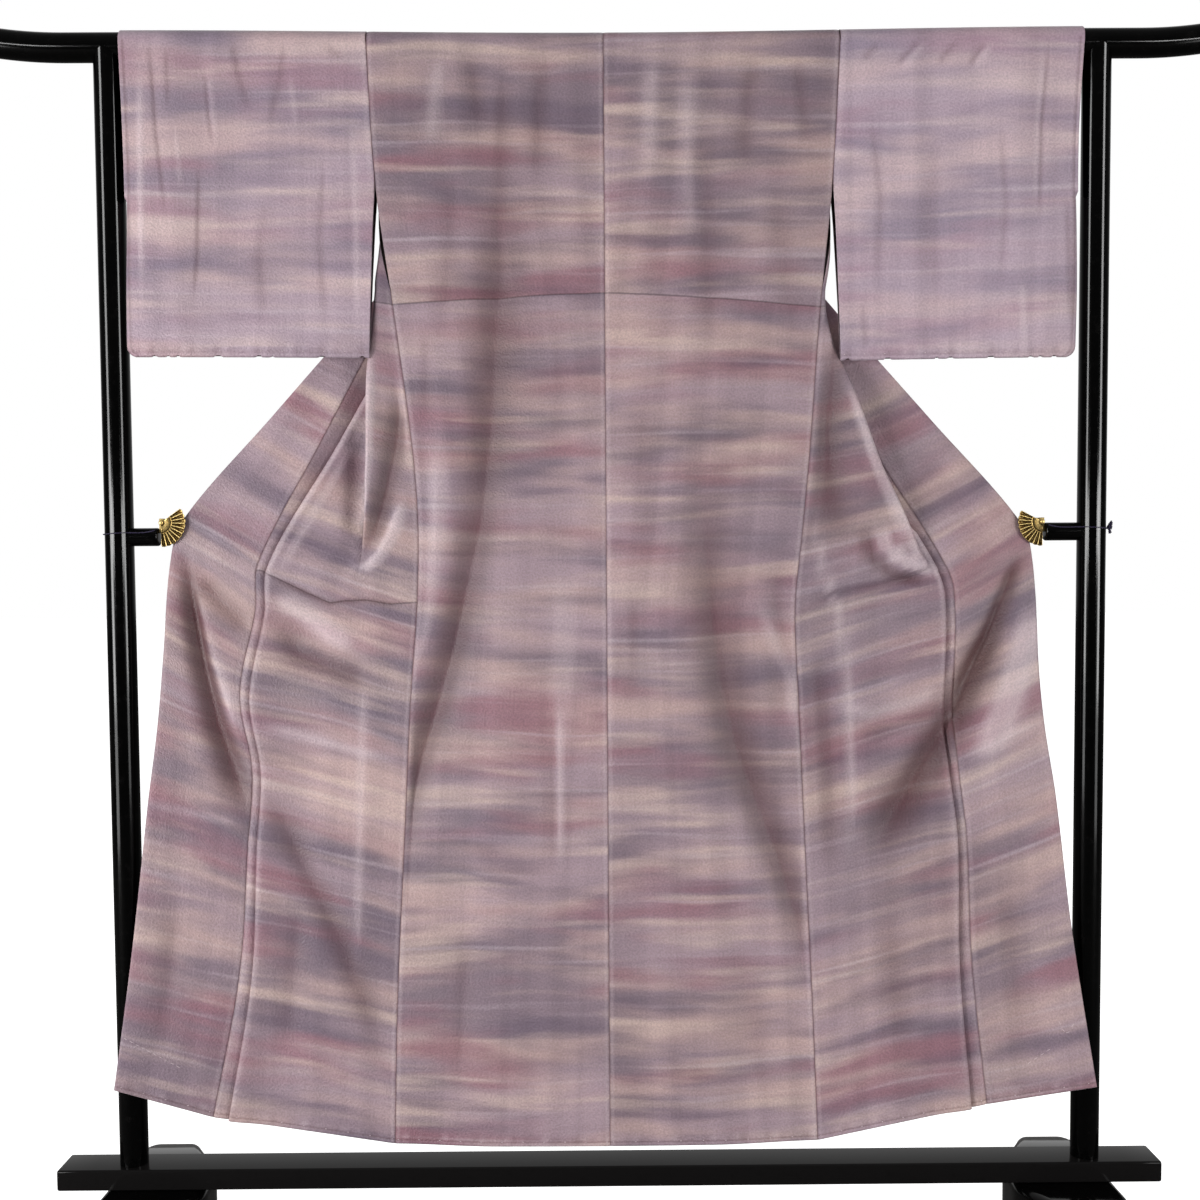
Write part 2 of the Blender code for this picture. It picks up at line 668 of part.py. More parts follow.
def collar_and_over_collar(collection):
    """The long collar, and the shorter over-collar on its middle stretch."""
    rows = collar_rows()
    collar_wall("collar", rows, collection, COLLAR_THICK)
    middle = len(rows) // 2
    lengths = [0.0]
    for a, b in zip(rows[middle:], rows[middle + 1:]):
        lengths.append(lengths[-1] + (b[0] - a[0]).length)
    reach = sum(1 for value in lengths if value <= OVER_HALF)
    outer = (COLLAR_THICK + OVER_THICK) / 2 + GAP + 0.0002
    shell = moved_out(rows, outer)[middle - reach + 1:middle + reach]
    covered = [row[2:] for row in shell]
    collar_wall("over_collar", covered, collection, OVER_THICK)


# ---------------------------------------------------------------- stand
def rod(name, radius, start, end, collection, finish, sides=24):
    """Round bar between two points, its ends flat."""
    start, end = Vector(start), Vector(end)
    bm = bmesh.new()
    bmesh.ops.create_cone(
        bm, cap_ends=True, segments=sides, radius1=radius, radius2=radius,
        depth=(end - start).length)
    turn = (end - start).to_track_quat("Z", "Y").to_matrix().to_4x4()
    bmesh.ops.transform(bm, matrix=Matrix.Translation((start + end) / 2) @ turn, verts=bm.verts)
    return from_bmesh(name, bm, collection, finish, 40)


def rail(collection):
    """The top rail: straight between the posts, its ends swept up and domed."""
    def lift(x):
        end = max(abs(x) - RAIL_STRAIGHT, 0) / (RAIL_HALF - RAIL_STRAIGHT)
        return RAIL_LIFT * end ** 2 - rail_sag(x)

    end_steps = 6
    half = [mix(RAIL_STRAIGHT, RAIL_HALF - RAIL_R, n / end_steps) for n in range(end_steps + 1)]
    between = [mix(-POST_X, POST_X, n / 12) for n in range(13)]
    xs = [-x for x in half[::-1]] + between + half
    rings = []
    sides = 24
    dome = [(0.35, 0.94), (0.68, 0.73), (0.90, 0.43)]
    stations = [(x, 1.0) for x in xs]
    tips = [(RAIL_HALF - RAIL_R + RAIL_R * step, scale) for step, scale in dome]
    stations = [(-x, s) for x, s in tips[::-1]] + stations + tips
    bm = bmesh.new()
    for x, scale in stations:
        slope = math.atan2(lift(x + 1e-4) - lift(x - 1e-4), 2e-4)
        ring = []
        for n in range(sides):
            angle = 2 * math.pi * n / sides
            across, up = RAIL_R * scale * math.cos(angle), RAIL_R * scale * math.sin(angle)
            ring.append(bm.verts.new((
                x - up * math.sin(slope), across, RAIL_Z + lift(x) + up * math.cos(slope))))
        rings.append(ring)
    for a, b in zip(rings, rings[1:]):
        for n in range(sides):
            m = (n + 1) % sides
            bm.faces.new((a[n], a[m], b[m], b[n]))
    bm.faces.new(rings[0])
    bm.faces.new(rings[-1])
    return from_bmesh("rail", bm, collection, "black_lacquer", 50)


def posts_and_pegs(parts, cutters):
    """Two posts coped under the rail, each with a short peg coped against it."""
    rail_cutter = rod("rail_cutter", RAIL_R + GAP, (-0.8, 0, RAIL_Z), (0.8, 0, RAIL_Z),
                      cutters, None, sides=32)
    for side, sign in SIDES:
        x = sign * POST_X
        post = rod("post_" + side, POST_R, (x, 0, BEAM_TOP + GAP), (x, 0, RAIL_Z - 0.006),
                   parts, "black_lacquer")
        cut(post, rail_cutter)
        peg = rod("peg_" + side, PEG_R, (sign * (POST_X - 0.010), 0, PEG_Z),
                  (sign * CLIPS[side].tip, 0, PEG_Z), parts, "black_lacquer", sides=20)
        post_cutter = rod("post_cutter_" + side, POST_R + GAP, (x, 0, PEG_Z - 0.1),
                          (x, 0, PEG_Z + 0.1), cutters, None, sides=32)
        cut(peg, post_cutter)


def beam(collection):
    """The low beam that carries both posts."""
    bm = bmesh.new()
    bmesh.ops.create_cube(bm, size=1.0)
    bmesh.ops.scale(bm, vec=BEAM_SIZE, verts=bm.verts)
    middle = (0.0, 0.0, BEAM_TOP - BEAM_SIZE[2] / 2)
    bmesh.ops.translate(bm, vec=middle, verts=bm.verts)
    made = from_bmesh("beam", bm, collection, "black_lacquer")
    bevel = made.modifiers.new("soft edges", "BEVEL")
    bevel.width = BEAM_BEVEL
    bevel.segments = 2
    return made


def foot_ring(row, y):
    """Section across a foot: flat underside, upright sides and rounded top edges."""
    edge = min(0.012, row.top * 0.4)
    return [
        (row.inner, y, 0.0), (row.inner, y, row.top - edge),
        (row.inner + 0.3 * edge, y, row.top - 0.3 * edge), (row.inner + edge, y, row.top),
        (row.outer - edge, y, row.top), (row.outer - 0.3 * edge, y, row.top - 0.3 * edge),
        (row.outer, y, row.top - edge), (row.outer, y, 0.0),
    ]


def foot(side, sign, collection):
    """A low foot across the beam, straight outside, bowed inside and humped lengthways."""
    places = [foot_ring(row, -row.y) for row in FOOT[::-1]] + [foot_ring(row, row.y) for row in FOOT]
    bm = bmesh.new()
    rings = [[bm.verts.new((sign * out, y, z)) for out, y, z in ring] for ring in places]
    count = len(rings[0])
    for a, b in zip(rings, rings[1:]):
        for n in range(count):
            m = (n + 1) % count
            bm.faces.new((a[n], a[m], b[m], b[n]))
    bm.faces.new(rings[0])
    bm.faces.new(rings[-1])
    return from_bmesh("foot_" + side, bm, collection, "black_lacquer", 35)


# ---------------------------------------------------------------- clips and ties
FAN_INSET = 0.0035           # the fan's pivot from the peg's inner end
FAN_Y = -0.0035
FAN_RADII = (0.003, 0.0142, 0.0155, 0.0348)
FAN_LOW_ANGLE = -90.0        # its lower edge hangs straight down
FAN_PLEATS = 10
FAN_PLEAT_DEPTH = 0.0007
FAN_THICK = 0.0010
HINGE = 0.0065               # length of the block that joins the two jaws
JAW_LENGTH = 0.034
JAW_THICK = 0.0016


def fan(side, sign, collection):
    """Pleated fan, the clip's front jaw."""
    clip = CLIPS[side]
    steps = FAN_PLEATS * 2
    rows = []
    for radius in FAN_RADII:
        depth = FAN_PLEAT_DEPTH * min(max((radius - FAN_RADII[1]) / 0.002, 0.0), 1.0)
        row = []
        for n in range(steps + 1):
            angle = math.radians(mix(clip.top_angle, FAN_LOW_ANGLE, n / steps))
            fold = depth if n % 2 else -depth
            row.append((
                clip.tip - FAN_INSET - radius * math.cos(angle), FAN_Y + fold,
                clip.pivot_z + radius * math.sin(angle)))
        rows.append(row)
    width = len(rows[0])
    points = [point for row in rows for point in row]
    ids = [list(range(n * width, (n + 1) * width)) for n in range(len(rows))]
    return wall_object(
        "fan_" + side, points, grid_faces(ids), sign, collection, "gilt_brass", FAN_THICK)


def jaw(side, sign, collection):
    """The clip's back jaw and the hinge block that joins it to the fan."""
    front, back = FAN_Y + FAN_THICK / 2 + GAP, 0.0084
    clip = CLIPS[side]
    hinge = clip.tip - GAP
    outline = [
        (hinge, front), (hinge, back), (hinge - JAW_LENGTH, back),
        (hinge - JAW_LENGTH, back - JAW_THICK), (hinge - HINGE, back - JAW_THICK), (hinge - HINGE, front),
    ]
    low, high = clip.pivot_z - 0.014, clip.pivot_z + 0.006
    bm = bmesh.new()
    rings = []
    for z in (low, high):
        rings.append([bm.verts.new((sign * out, y, z)) for out, y in outline])
    count = len(outline)
    for n in range(count):
        m = (n + 1) % count
        bm.faces.new((rings[0][n], rings[0][m], rings[1][m], rings[1][n]))
    bm.faces.new(rings[0])
    bm.faces.new(rings[1])
    return from_bmesh("jaw_" + side, bm, collection, "gilt_brass")


def tie(side, sign, collection):
    """Thin cord from the clip, along the peg, round the post and back along the peg."""
    off_peg = PEG_R + GAP + TIE_R
    ring = POST_R + GAP + TIE_R + 0.0003
    z = PEG_Z + 0.005
    tip = CLIPS[side].tip
    start = math.pi - math.asin(off_peg / ring) * 1.02
    points = [(tip + 0.002, -off_peg), (tip + 0.018, -off_peg)]
    steps = 22
    for n in range(steps + 1):
        angle = -start + 2 * start * n / steps
        points.append((POST_X + ring * math.cos(angle), ring * math.sin(angle)))
    points += [(tip + 0.018, off_peg), (tip + 0.002, off_peg)]
    curve = bpy.data.curves.new("tie_" + side, "CURVE")
    curve.dimensions = "3D"
    curve.bevel_depth = TIE_R
    curve.bevel_resolution = 1
    curve.use_fill_caps = True
    spline = curve.splines.new("POLY")
    spline.points.add(len(points) - 1)
    for point, (out, y) in zip(spline.points, points):
        point.co = (sign * out, y, z, 1.0)
    return add_object("tie_" + side, curve, collection, "purple_cord")


def main():
    """Build the stand, then the kimono, piece by piece."""
    clear_scene()
    parts = new_collection("kimono_on_stand")
    cutters = new_collection("cutters")
    rail(parts)
    posts_and_pegs(parts, cutters)
    beam(parts)
    for side, sign in SIDES:
        foot(side, sign, parts)
        fan(side, sign, parts)
        jaw(side, sign, parts)
        tie(side, sign, parts)
        body_panel(side, sign, parts)
        sleeve(side, sign, parts)
        overlap_panel(side, sign, parts)
    collar_and_over_collar(parts)


main()
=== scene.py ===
# %% [markdown]
# # A silk kimono on its lacquered stand
# A lined kimono hangs over the rail of a black stand, back panels to the front, and its two
# fronts are drawn out to the sides by fan clips. The file builds the looks: first the view and
# the light, then the stand, the clips, and last the cloth, panel by panel. Everything is in
# metres, +Z up, with the origin on the floor under the middle of the stand. `out` is a distance
# from the middle plane: the left side is x = -out and the right side is x = +out.

# %% Load the frame
import math
from collections import namedtuple

import bmesh
import bpy
import numpy as np
from mathutils import Matrix, Vector
from mathutils.bvhtree import BVHTree


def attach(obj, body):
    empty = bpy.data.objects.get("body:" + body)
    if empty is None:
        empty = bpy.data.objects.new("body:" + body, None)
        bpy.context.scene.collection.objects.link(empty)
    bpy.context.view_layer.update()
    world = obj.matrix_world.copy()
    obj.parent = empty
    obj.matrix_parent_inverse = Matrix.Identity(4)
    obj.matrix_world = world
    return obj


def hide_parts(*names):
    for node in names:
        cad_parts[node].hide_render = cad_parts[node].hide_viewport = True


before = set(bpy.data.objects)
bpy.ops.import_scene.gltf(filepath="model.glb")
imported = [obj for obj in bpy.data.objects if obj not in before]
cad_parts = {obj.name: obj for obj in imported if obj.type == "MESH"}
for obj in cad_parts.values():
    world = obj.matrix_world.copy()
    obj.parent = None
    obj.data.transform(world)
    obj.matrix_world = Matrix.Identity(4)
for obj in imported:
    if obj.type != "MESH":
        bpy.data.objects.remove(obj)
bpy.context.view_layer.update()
SIDES = (("left", -1), ("right", 1))


def new_mesh(name, points, faces, edges=()):
    """Mesh from points, faces and loose edges."""
    mesh = bpy.data.meshes.new(name)
    mesh.from_pydata(points, edges, faces)
    return mesh


def add_object(name, data):
    """Object with this data, linked to the scene."""
    made = bpy.data.objects.new(name, data)
    bpy.context.scene.collection.objects.link(made)
    return made


# %% [markdown]
# ## The view
# The eye is a little under chest height and two steps away, and looks slightly down. A small
# shift, as on a view camera, frames the stand without tilting its posts.

# %% Camera
def place_camera(place, pitch, yaw, roll, lens, shift):
    """Camera at a place, turned by pitch (down), yaw (to +X) and roll, in degrees."""
    pitch, yaw, roll = (math.radians(angle) for angle in (pitch, yaw, roll))
    forward = Vector((math.sin(yaw) * math.cos(pitch), math.cos(yaw) * math.cos(pitch),
                      -math.sin(pitch)))
    level = Vector((math.cos(yaw), -math.sin(yaw), 0.0))
    upright = level.cross(forward)
    right = math.cos(roll) * level + math.sin(roll) * upright
    up = math.cos(roll) * upright - math.sin(roll) * level
    data = bpy.data.cameras.new("camera")
    data.lens, data.sensor_width = lens, 36.0
    data.shift_x, data.shift_y = shift
    camera = add_object("camera", data)
    turn = Matrix((right, up, -forward)).transposed().to_4x4()
    camera.matrix_world = Matrix.Translation(place) @ turn
    bpy.context.scene.camera = camera


place_camera((-0.0103, -1.8514, 0.9306), pitch=2.749, yaw=0.278, roll=-0.367, lens=39.0,
             shift=(-0.005, 0.0333))
print("camera in place")

# %% [markdown]
# ## Nodes and colours
# Every finish below is built from shader nodes. One helper fills a node's inputs with values or
# links, another adds a node and sets its properties, and a third lays one colour over another.
# Colours are written as screen (sRGB) hex values and turned to the linear light that the
# renderer works in.

# %% Node and colour helpers
def fill(node, inputs):
    """Set a node's inputs to values, or link them to sockets or to other nodes' first sockets."""
    for key, value in inputs.items():
        if isinstance(value, bpy.types.Node):
            value = value.outputs[0]
        if isinstance(value, bpy.types.NodeSocket):
            node.id_data.links.new(value, node.inputs[key])
        else:
            node.inputs[key].default_value = value


def add_node(tree, kind, inputs=None, **settings):
    """Add a node with its properties, and fill its inputs."""
    node = tree.nodes.new(kind)
    for key, value in settings.items():
        setattr(node, key, value)
    fill(node, inputs or {})
    return node


def colour(text):
    """Linear RGBA of an sRGB hex colour."""
    parts = [int(text[n:n + 2], 16) / 255 for n in (1, 3, 5)]
    return tuple(p / 12.92 if p <= 0.04045 else ((p + 0.055) / 1.055) ** 2.4
                 for p in parts) + (1.0,)


def blend_in(tree, under, over, mask, amount=1.0):
    """Lay a colour over what is there, where its mask lets it through."""
    held = add_node(tree, "ShaderNodeMath", {0: mask, 1: amount}, operation="MULTIPLY")
    layer = add_node(tree, "ShaderNodeMix", {
        "Factor": held, "A": under, "B": over}, data_type="RGBA")
    return layer.outputs["Result"]


def new_material(name, sockets):
    """Material with one Principled shader, its plain sockets set; returns all three."""
    made = bpy.data.materials.new(name)
    made.use_nodes = True
    shader = made.node_tree.nodes["Principled BSDF"]
    fill(shader, sockets)
    return made, made.node_tree, shader


# %% [markdown]
# ## Studio
# The floor is a sheet of white paper and the surroundings are white card where the camera sees
# them. To the lights and reflections both are a mid grey, as in a darkened studio, because
# polished black lacquer mirrors whatever is around it and would turn grey under white walls.

# %% Floor and surroundings
def studio_floor():
    """A large sheet of paper: near white to the eye, mid grey in reflections."""
    made, tree, shader = new_material("white_paper_floor", {
        "Roughness": 0.9, "Base Color": colour("#6f6d6c")})
    path = add_node(tree, "ShaderNodeLightPath")
    glow = add_node(tree, "ShaderNodeEmission", {"Color": (1, 1, 1, 1), "Strength": 0.97})
    matte = add_node(tree, "ShaderNodeBsdfDiffuse", {"Color": (0.5, 0.5, 0.5, 1)})
    seen = add_node(tree, "ShaderNodeAddShader", {0: glow, 1: matte})
    mixed = add_node(tree, "ShaderNodeMixShader", {
        0: path.outputs["Is Camera Ray"], 1: shader, 2: seen})
    fill(tree.nodes["Material Output"], {"Surface": mixed})
    half = 30.0
    corners = [(-half, -half, 0), (half, -half, 0), (half, half, 0), (-half, half, 0)]
    floor = add_object("floor", new_mesh("floor", corners, [(0, 1, 2, 3)]))
    floor.data.materials.append(made)


def surroundings(seen, low, high, back_light):
    """World, white to the camera; as light `low` at eye level, `high` above, more behind."""
    world = bpy.data.worlds.new("studio")
    bpy.context.scene.world = world
    world.use_nodes = True
    tree = world.node_tree
    tree.nodes.clear()
    facing = add_node(tree, "ShaderNodeTexCoord")
    height = add_node(tree, "ShaderNodeSeparateXYZ", {0: facing.outputs["Generated"]})
    light = add_node(tree, "ShaderNodeMapRange", {
        "Value": height.outputs["Z"], "From Min": 0.1, "From Max": 0.7, "To Min": low,
        "To Max": high})
    behind = add_node(tree, "ShaderNodeMapRange", {
        "Value": height.outputs["Y"], "From Min": 0.3, "From Max": 0.9, "To Max": back_light})
    both = add_node(tree, "ShaderNodeMath", {0: light, 1: behind})
    path = add_node(tree, "ShaderNodeLightPath")
    strength = add_node(tree, "ShaderNodeMix", {
        "Factor": path.outputs["Is Camera Ray"], "A": both, "B": seen})
    back = add_node(tree, "ShaderNodeBackground", {
        "Color": (1.0, 1.0, 1.0, 1.0), "Strength": strength})
    add_node(tree, "ShaderNodeOutputWorld", {"Surface": back})


studio_floor()
surroundings(seen=1.0, low=0.12, high=0.34, back_light=0.75)
bpy.context.scene.view_settings.view_transform = "Standard"

# %% [markdown]
# Folds in cloth only show where light comes across them. Two tall soft boxes stand left and
# right of the camera, the left one stronger, and each draws one thin line down every polished
# post. A wide box above lights the rail and the shoulders, and one behind brightens the floor.
# Four strips light nothing but the polish of the rail, posts and pegs, as tall reflectors do:
# they lengthen the lines of light on the posts and mark the rail's ends.

# %% Lights
def soft_box(name, place, target, size, power, tint="#ffffff"):
    """Rectangular area light at a place, facing a target."""
    data = bpy.data.lights.new(name, "AREA")
    data.shape = "RECTANGLE"
    data.size, data.size_y = size
    data.energy = power
    data.color = colour(tint)[:3]
    light = add_object(name, data)
    aim = Vector(target) - Vector(place)
    turn = aim.to_track_quat("-Z", "Y").to_matrix().to_4x4()
    light.matrix_world = Matrix.Translation(place) @ turn
    return light


soft_box("key", (-2.7, -1.95, 0.60), (0.0, 0.0, 0.55), (1.2, 1.5), 108.0)
soft_box("fill", (2.7, -2.2, 0.60), (0.0, 0.0, 0.55), (1.1, 1.5), 66.0)
soft_box("top", (0.0, -1.6, 3.3), (0.0, 0.0, 1.0), (2.6, 0.8), 5.0)
rear = soft_box("rear", (0.0, 3.2, 2.0), (0.0, 0.0, 0.9), (2.6, 1.4), 60.0)
rear.visible_glossy = False  # it would draw a bar of light along the beam

POLISHED = bpy.data.collections.new("polished_wood")
for side, sign in SIDES:
    for name, place, size, power in (
            ("post_strip_", (2.75, -1.95, 1.75), (0.8, 2.5), 260.0),
            ("rail_strip_", (2.60, -3.20, 1.15), (1.2, 0.3), 70.0)):
        strip = soft_box(name + side, (sign * place[0], place[1], place[2]),
                         (0.0, 0.0, place[2]), size, power)
        strip.visible_diffuse = False
        strip.light_linking.receiver_collection = POLISHED
print("lights placed")

# %% [markdown]
# ## Lacquer
# The stand is wood under polished black urushi-type lacquer, brushed on, cured and rubbed to a
# gloss. The eye reads it from its mirror-like lines of light, so the base is nearly black, the
# gloss is high, and the surface has the faint swell that brushing leaves (about 30 mm from
# crest to crest) and a little dust that dulls the gloss in patches.

# %% Black lacquer
def black_lacquer(name, gloss, base="#030303"):
    """Polished black lacquer on wood, with how much it mirrors and its deepest tone."""
    made, tree, shader = new_material(name, {
        "Roughness": 0.07, "IOR": 1.5, "Specular IOR Level": gloss})
    place = add_node(tree, "ShaderNodeTexCoord")
    swell = add_node(tree, "ShaderNodeTexNoise", {
        "Vector": place.outputs["Object"], "Scale": 1 / 0.030, "Detail": 1.0})
    dust = add_node(tree, "ShaderNodeTexNoise", {
        "Vector": place.outputs["Object"], "Scale": 1 / 0.012, "Detail": 5.0,
        "Roughness": 0.7})
    dulled = add_node(tree, "ShaderNodeMapRange", {
        "Value": dust, "From Min": 0.45, "From Max": 0.75, "To Min": 0.10,
        "To Max": 0.13})
    film = add_node(tree, "ShaderNodeMapRange", {
        "Value": dust, "From Min": 0.55, "From Max": 0.80})
    tone = blend_in(tree, colour(base), colour("#0e0d0d"), film)
    bump = add_node(tree, "ShaderNodeBump", {
        "Height": swell, "Strength": 0.12, "Distance": 0.0003})
    fill(shader, {"Base Color": tone, "Roughness": dulled, "Normal": bump})
    return made


LACQUER = black_lacquer("polished_black_lacquer", gloss=0.08)
BEAM_LACQUER = black_lacquer("polished_black_lacquer_of_the_beam", gloss=0.07, base="#121111")
FOOT_LACQUER = black_lacquer("polished_black_lacquer_of_the_feet", gloss=0.22)

# %% [markdown]
# ## Meshes from rings
# Rails, posts, pegs and feet are all lofts: a closed ring of points carried along a line. The
# helpers join the rings, close both ends, turn the faces outwards, give the piece its material
# and hide the solid that it stands for. The last few measure and blend: a curve through
# given values, a table of such values, and the easing, mixing and bell curves used all over.

# %% Mesh helpers
def finish_piece(piece, material, slot, *nodes):
    """Give a piece its material, light and body; hide its solids. `slot` is not used."""
    if not piece.data.materials:
        piece.data.materials.append(material)
    if material is LACQUER:
        POLISHED.objects.link(piece)
    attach(piece, "root")
    if nodes:
        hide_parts(*nodes)
    return piece


def face_outwards(mesh, smooth_angle=None, merge=False):
    """Turn a mesh's faces outwards, and shade it smooth up to an angle."""
    bm = bmesh.new()
    bm.from_mesh(mesh)
    if merge:
        bmesh.ops.remove_doubles(bm, verts=bm.verts, dist=1e-6)
    bmesh.ops.recalc_face_normals(bm, faces=bm.faces)
    bm.to_mesh(mesh)
    bm.free()
    mesh.shade_smooth()
    if smooth_angle is not None:
        mesh.set_sharp_from_angle(angle=math.radians(smooth_angle))


def mesh_object(name, points, faces, smooth_angle=None):
    """Object from points and faces, points that coincide made one."""
    mesh = new_mesh(name, [tuple(map(float, p)) for p in points], faces)
    face_outwards(mesh, smooth_angle, merge=True)
    return add_object(name, mesh)


def ring_faces(rings, around, start=0):
    """Quads between rings of `around` points, numbered from start, and both end caps."""
    last = start + (rings - 1) * around
    faces = []
    for low in range(start, last, around):
        for n in range(around):
            m = (n + 1) % around
            faces.append((low + n, low + m, low + around + m, low + around + n))
    return faces + [tuple(range(low, low + around)) for low in (start, last)]


def loft(name, rings, smooth_angle=40):
    """Closed surface through rings of equal length, both ends capped."""
    points = [p for ring in rings for p in ring]
    return mesh_object(name, points, ring_faces(len(rings), len(rings[0])), smooth_angle)


def circle(count):
    """Angles of evenly spaced points round a circle."""
    return [2 * math.pi * n / count for n in range(count)]


def run_length(points):
    """Distance of each point of a line from the first, measured along the line."""
    return np.concatenate(([0], np.cumsum(np.linalg.norm(np.diff(points, axis=0), axis=1))))


def unit(vectors):
    """The same directions, each of length 1."""
    return vectors / np.linalg.norm(vectors, axis=-1, keepdims=True)


def curve_through(xs, ys, at):
    """Smooth curve through (xs, ys), flat past its ends; at is a number or an array."""
    xs, ys, at = (np.asarray(v, float) for v in (xs, ys, at))
    last = len(xs) - 1
    n = np.arange(last + 1)
    before, after = np.maximum(n - 1, 0), np.minimum(n + 1, last)
    slopes = (ys[after] - ys[before]) / (xs[after] - xs[before])
    i = np.clip(np.searchsorted(xs, at) - 1, 0, last - 1)
    span = xs[i + 1] - xs[i]
    t = np.clip((at - xs[i]) / span, 0.0, 1.0)
    start = (2 * t**3 - 3 * t**2 + 1) * ys[i] + (t**3 - 2 * t**2 + t) * slopes[i] * span
    end = (3 * t**2 - 2 * t**3) * ys[i + 1] + (t**3 - t**2) * slopes[i + 1] * span
    return start + end


def read_table(table, column, at):
    """Smooth value of a named column at a place along the first; row 0 names the columns."""
    k = table[0].split().index(column)
    return float(curve_through([row[0] for row in table[1:]], [row[k] for row in table[1:]], at))


def ease(t):
    """Smooth step from 0 to 1, for a number or an array."""
    t = np.clip(t, 0.0, 1.0)
    return t * t * (3 - 2 * t)


def mix(a, b, t):
    """Value t of the way from a to b."""
    return a + (b - a) * t


def bell(distance, half):
    """Bell curve: 1 at no distance, 0.37 at `half`, and next to nothing at twice that."""
    return np.exp(-(distance / half) ** 2)


# %% [markdown]
# ## The rail
# The rail is a round bar, about 40 mm thick, whose ends sweep gently up to domed tips. Under
# the silk its middle bends down by a few millimetres, and the cloth follows. It is a loft of
# circles, each square to the curve, shrinking over the last 20 mm into a dome.

# %% Rail
RAIL_R, RAIL_Z = 0.0198, 1.672
RAIL_HALF, RAIL_STRAIGHT, RAIL_LIFT, RAIL_SAG = 0.920, 0.750, 0.022, 0.006
POST_X, POST_R = 0.690, 0.0198
AROUND = 48                  # facets round a bar: 2.6 mm each, too small to see


def rail_sag(out):
    """How far the rail, and the cloth on it, hangs down between the posts."""
    return RAIL_SAG * (1 + np.cos(np.pi * np.minimum(np.abs(out) / POST_X, 1.0))) / 2


def rail_height(x):
    """Height of the rail's axis at x."""
    end = max(abs(x) - RAIL_STRAIGHT, 0) / (RAIL_HALF - RAIL_STRAIGHT)
    return RAIL_Z + RAIL_LIFT * end ** 2 - float(rail_sag(x))


def build_rail():
    """Loft of the rail, from dome to dome."""
    ends = np.linspace(RAIL_STRAIGHT, RAIL_HALF - RAIL_R, 13)
    xs = list(-ends[::-1]) + list(np.linspace(-POST_X, POST_X, 41)) + list(ends)
    dome = np.sin(np.radians((15, 30, 45, 60, 72, 82, 88)))
    tips = [(RAIL_HALF - RAIL_R + RAIL_R * s, math.sqrt(1 - s * s)) for s in dome]
    stations = [(-x, s) for x, s in tips[::-1]] + [(x, 1.0) for x in xs] + tips
    rings = []
    for x, scale in stations:
        slope = math.atan2(rail_height(x + 1e-4) - rail_height(x - 1e-4), 2e-4)
        ring = []
        for angle in circle(AROUND):
            across = RAIL_R * scale * math.cos(angle)
            up = RAIL_R * scale * math.sin(angle)
            ring.append((x - up * math.sin(slope), across, rail_height(x) + up * math.cos(slope)))
        rings.append(ring)
    finish_piece(loft("lacquered_rail", rings), LACQUER, "black_lacquer", "rail")


build_rail()
print("rail built")

# %% [markdown]
# ## Posts and pegs
# Each post is turned to the rail's thickness and its top is coped, cut to a saddle that fits
# the underside of the rail. A short peg, coped in the same way, stands out of each post towards
# the cloth and carries the clip; its free end has a softened rim.

# %% Posts and pegs
PEG_Z, PEG_R = 0.992, 0.0128
BEAM_TOP = 0.088
GAP = 0.0003
# Clips: out of the peg's inner end, height of the fan's pivot, top edge of the fan in degrees.
Clip = namedtuple("Clip", "tip pivot_z top_angle")
CLIPS = {"left": Clip(0.6330, 1.012, 36.0), "right": Clip(0.6225, 1.006, 28.0)}


def build_post(side, sign):
    """Post from the beam to the saddle under the rail."""
    rings = []
    for t in np.linspace(0, 1, 30):
        ring = []
        for angle in circle(AROUND):
            across, along = POST_R * math.sin(angle), POST_R * math.cos(angle)
            saddle = math.sqrt(max((RAIL_R + GAP) ** 2 - across ** 2, 0))
            top = RAIL_Z - saddle - 0.0004
            ring.append((sign * POST_X + along, across, mix(BEAM_TOP + GAP, top, t)))
        rings.append(ring)
    post = loft("lacquered_post_" + side, rings, 50)
    finish_piece(post, LACQUER, "black_lacquer", "post_" + side)


def build_peg(side, sign):
    """Peg from the post's side to its free end, the rim rounded."""
    tip = CLIPS[side].tip
    rim = [(1.0, 0.0025), (0.96, 0.0012), (0.88, 0.0004), (0.74, 0.0)]
    rings = []
    for step in range(5):
        ring = []
        for angle in circle(AROUND):
            across, up = PEG_R * math.sin(angle), PEG_R * math.cos(angle)
            root = POST_X - math.sqrt((POST_R + GAP) ** 2 - across ** 2)
            out = mix(root, tip + rim[0][1], step / 4)
            ring.append((sign * out, across, PEG_Z + up))
        rings.append(ring)
    for scale, back in rim[1:]:
        rings.append([(sign * (tip + back), y * scale, PEG_Z + (z - PEG_Z) * scale)
                      for _, y, z in rings[4]])
    peg = loft("lacquered_peg_" + side, rings, 50)
    finish_piece(peg, LACQUER, "black_lacquer", "peg_" + side)


for side, sign in SIDES:
    build_post(side, sign)
    build_peg(side, sign)
print("posts and pegs built")

# %% [markdown]
# ## Beam and feet
# A low beam, planed square with its edges eased by 3 mm, carries both posts. It is notched over
# two long feet. Seen from above a foot is straight outside and bowed inside, and lengthways it
# is humped like a low bridge, so it stands on the floor with its flat underside.

# %% Beam
BEAM_SIZE = (1.584, 0.056, 0.030)


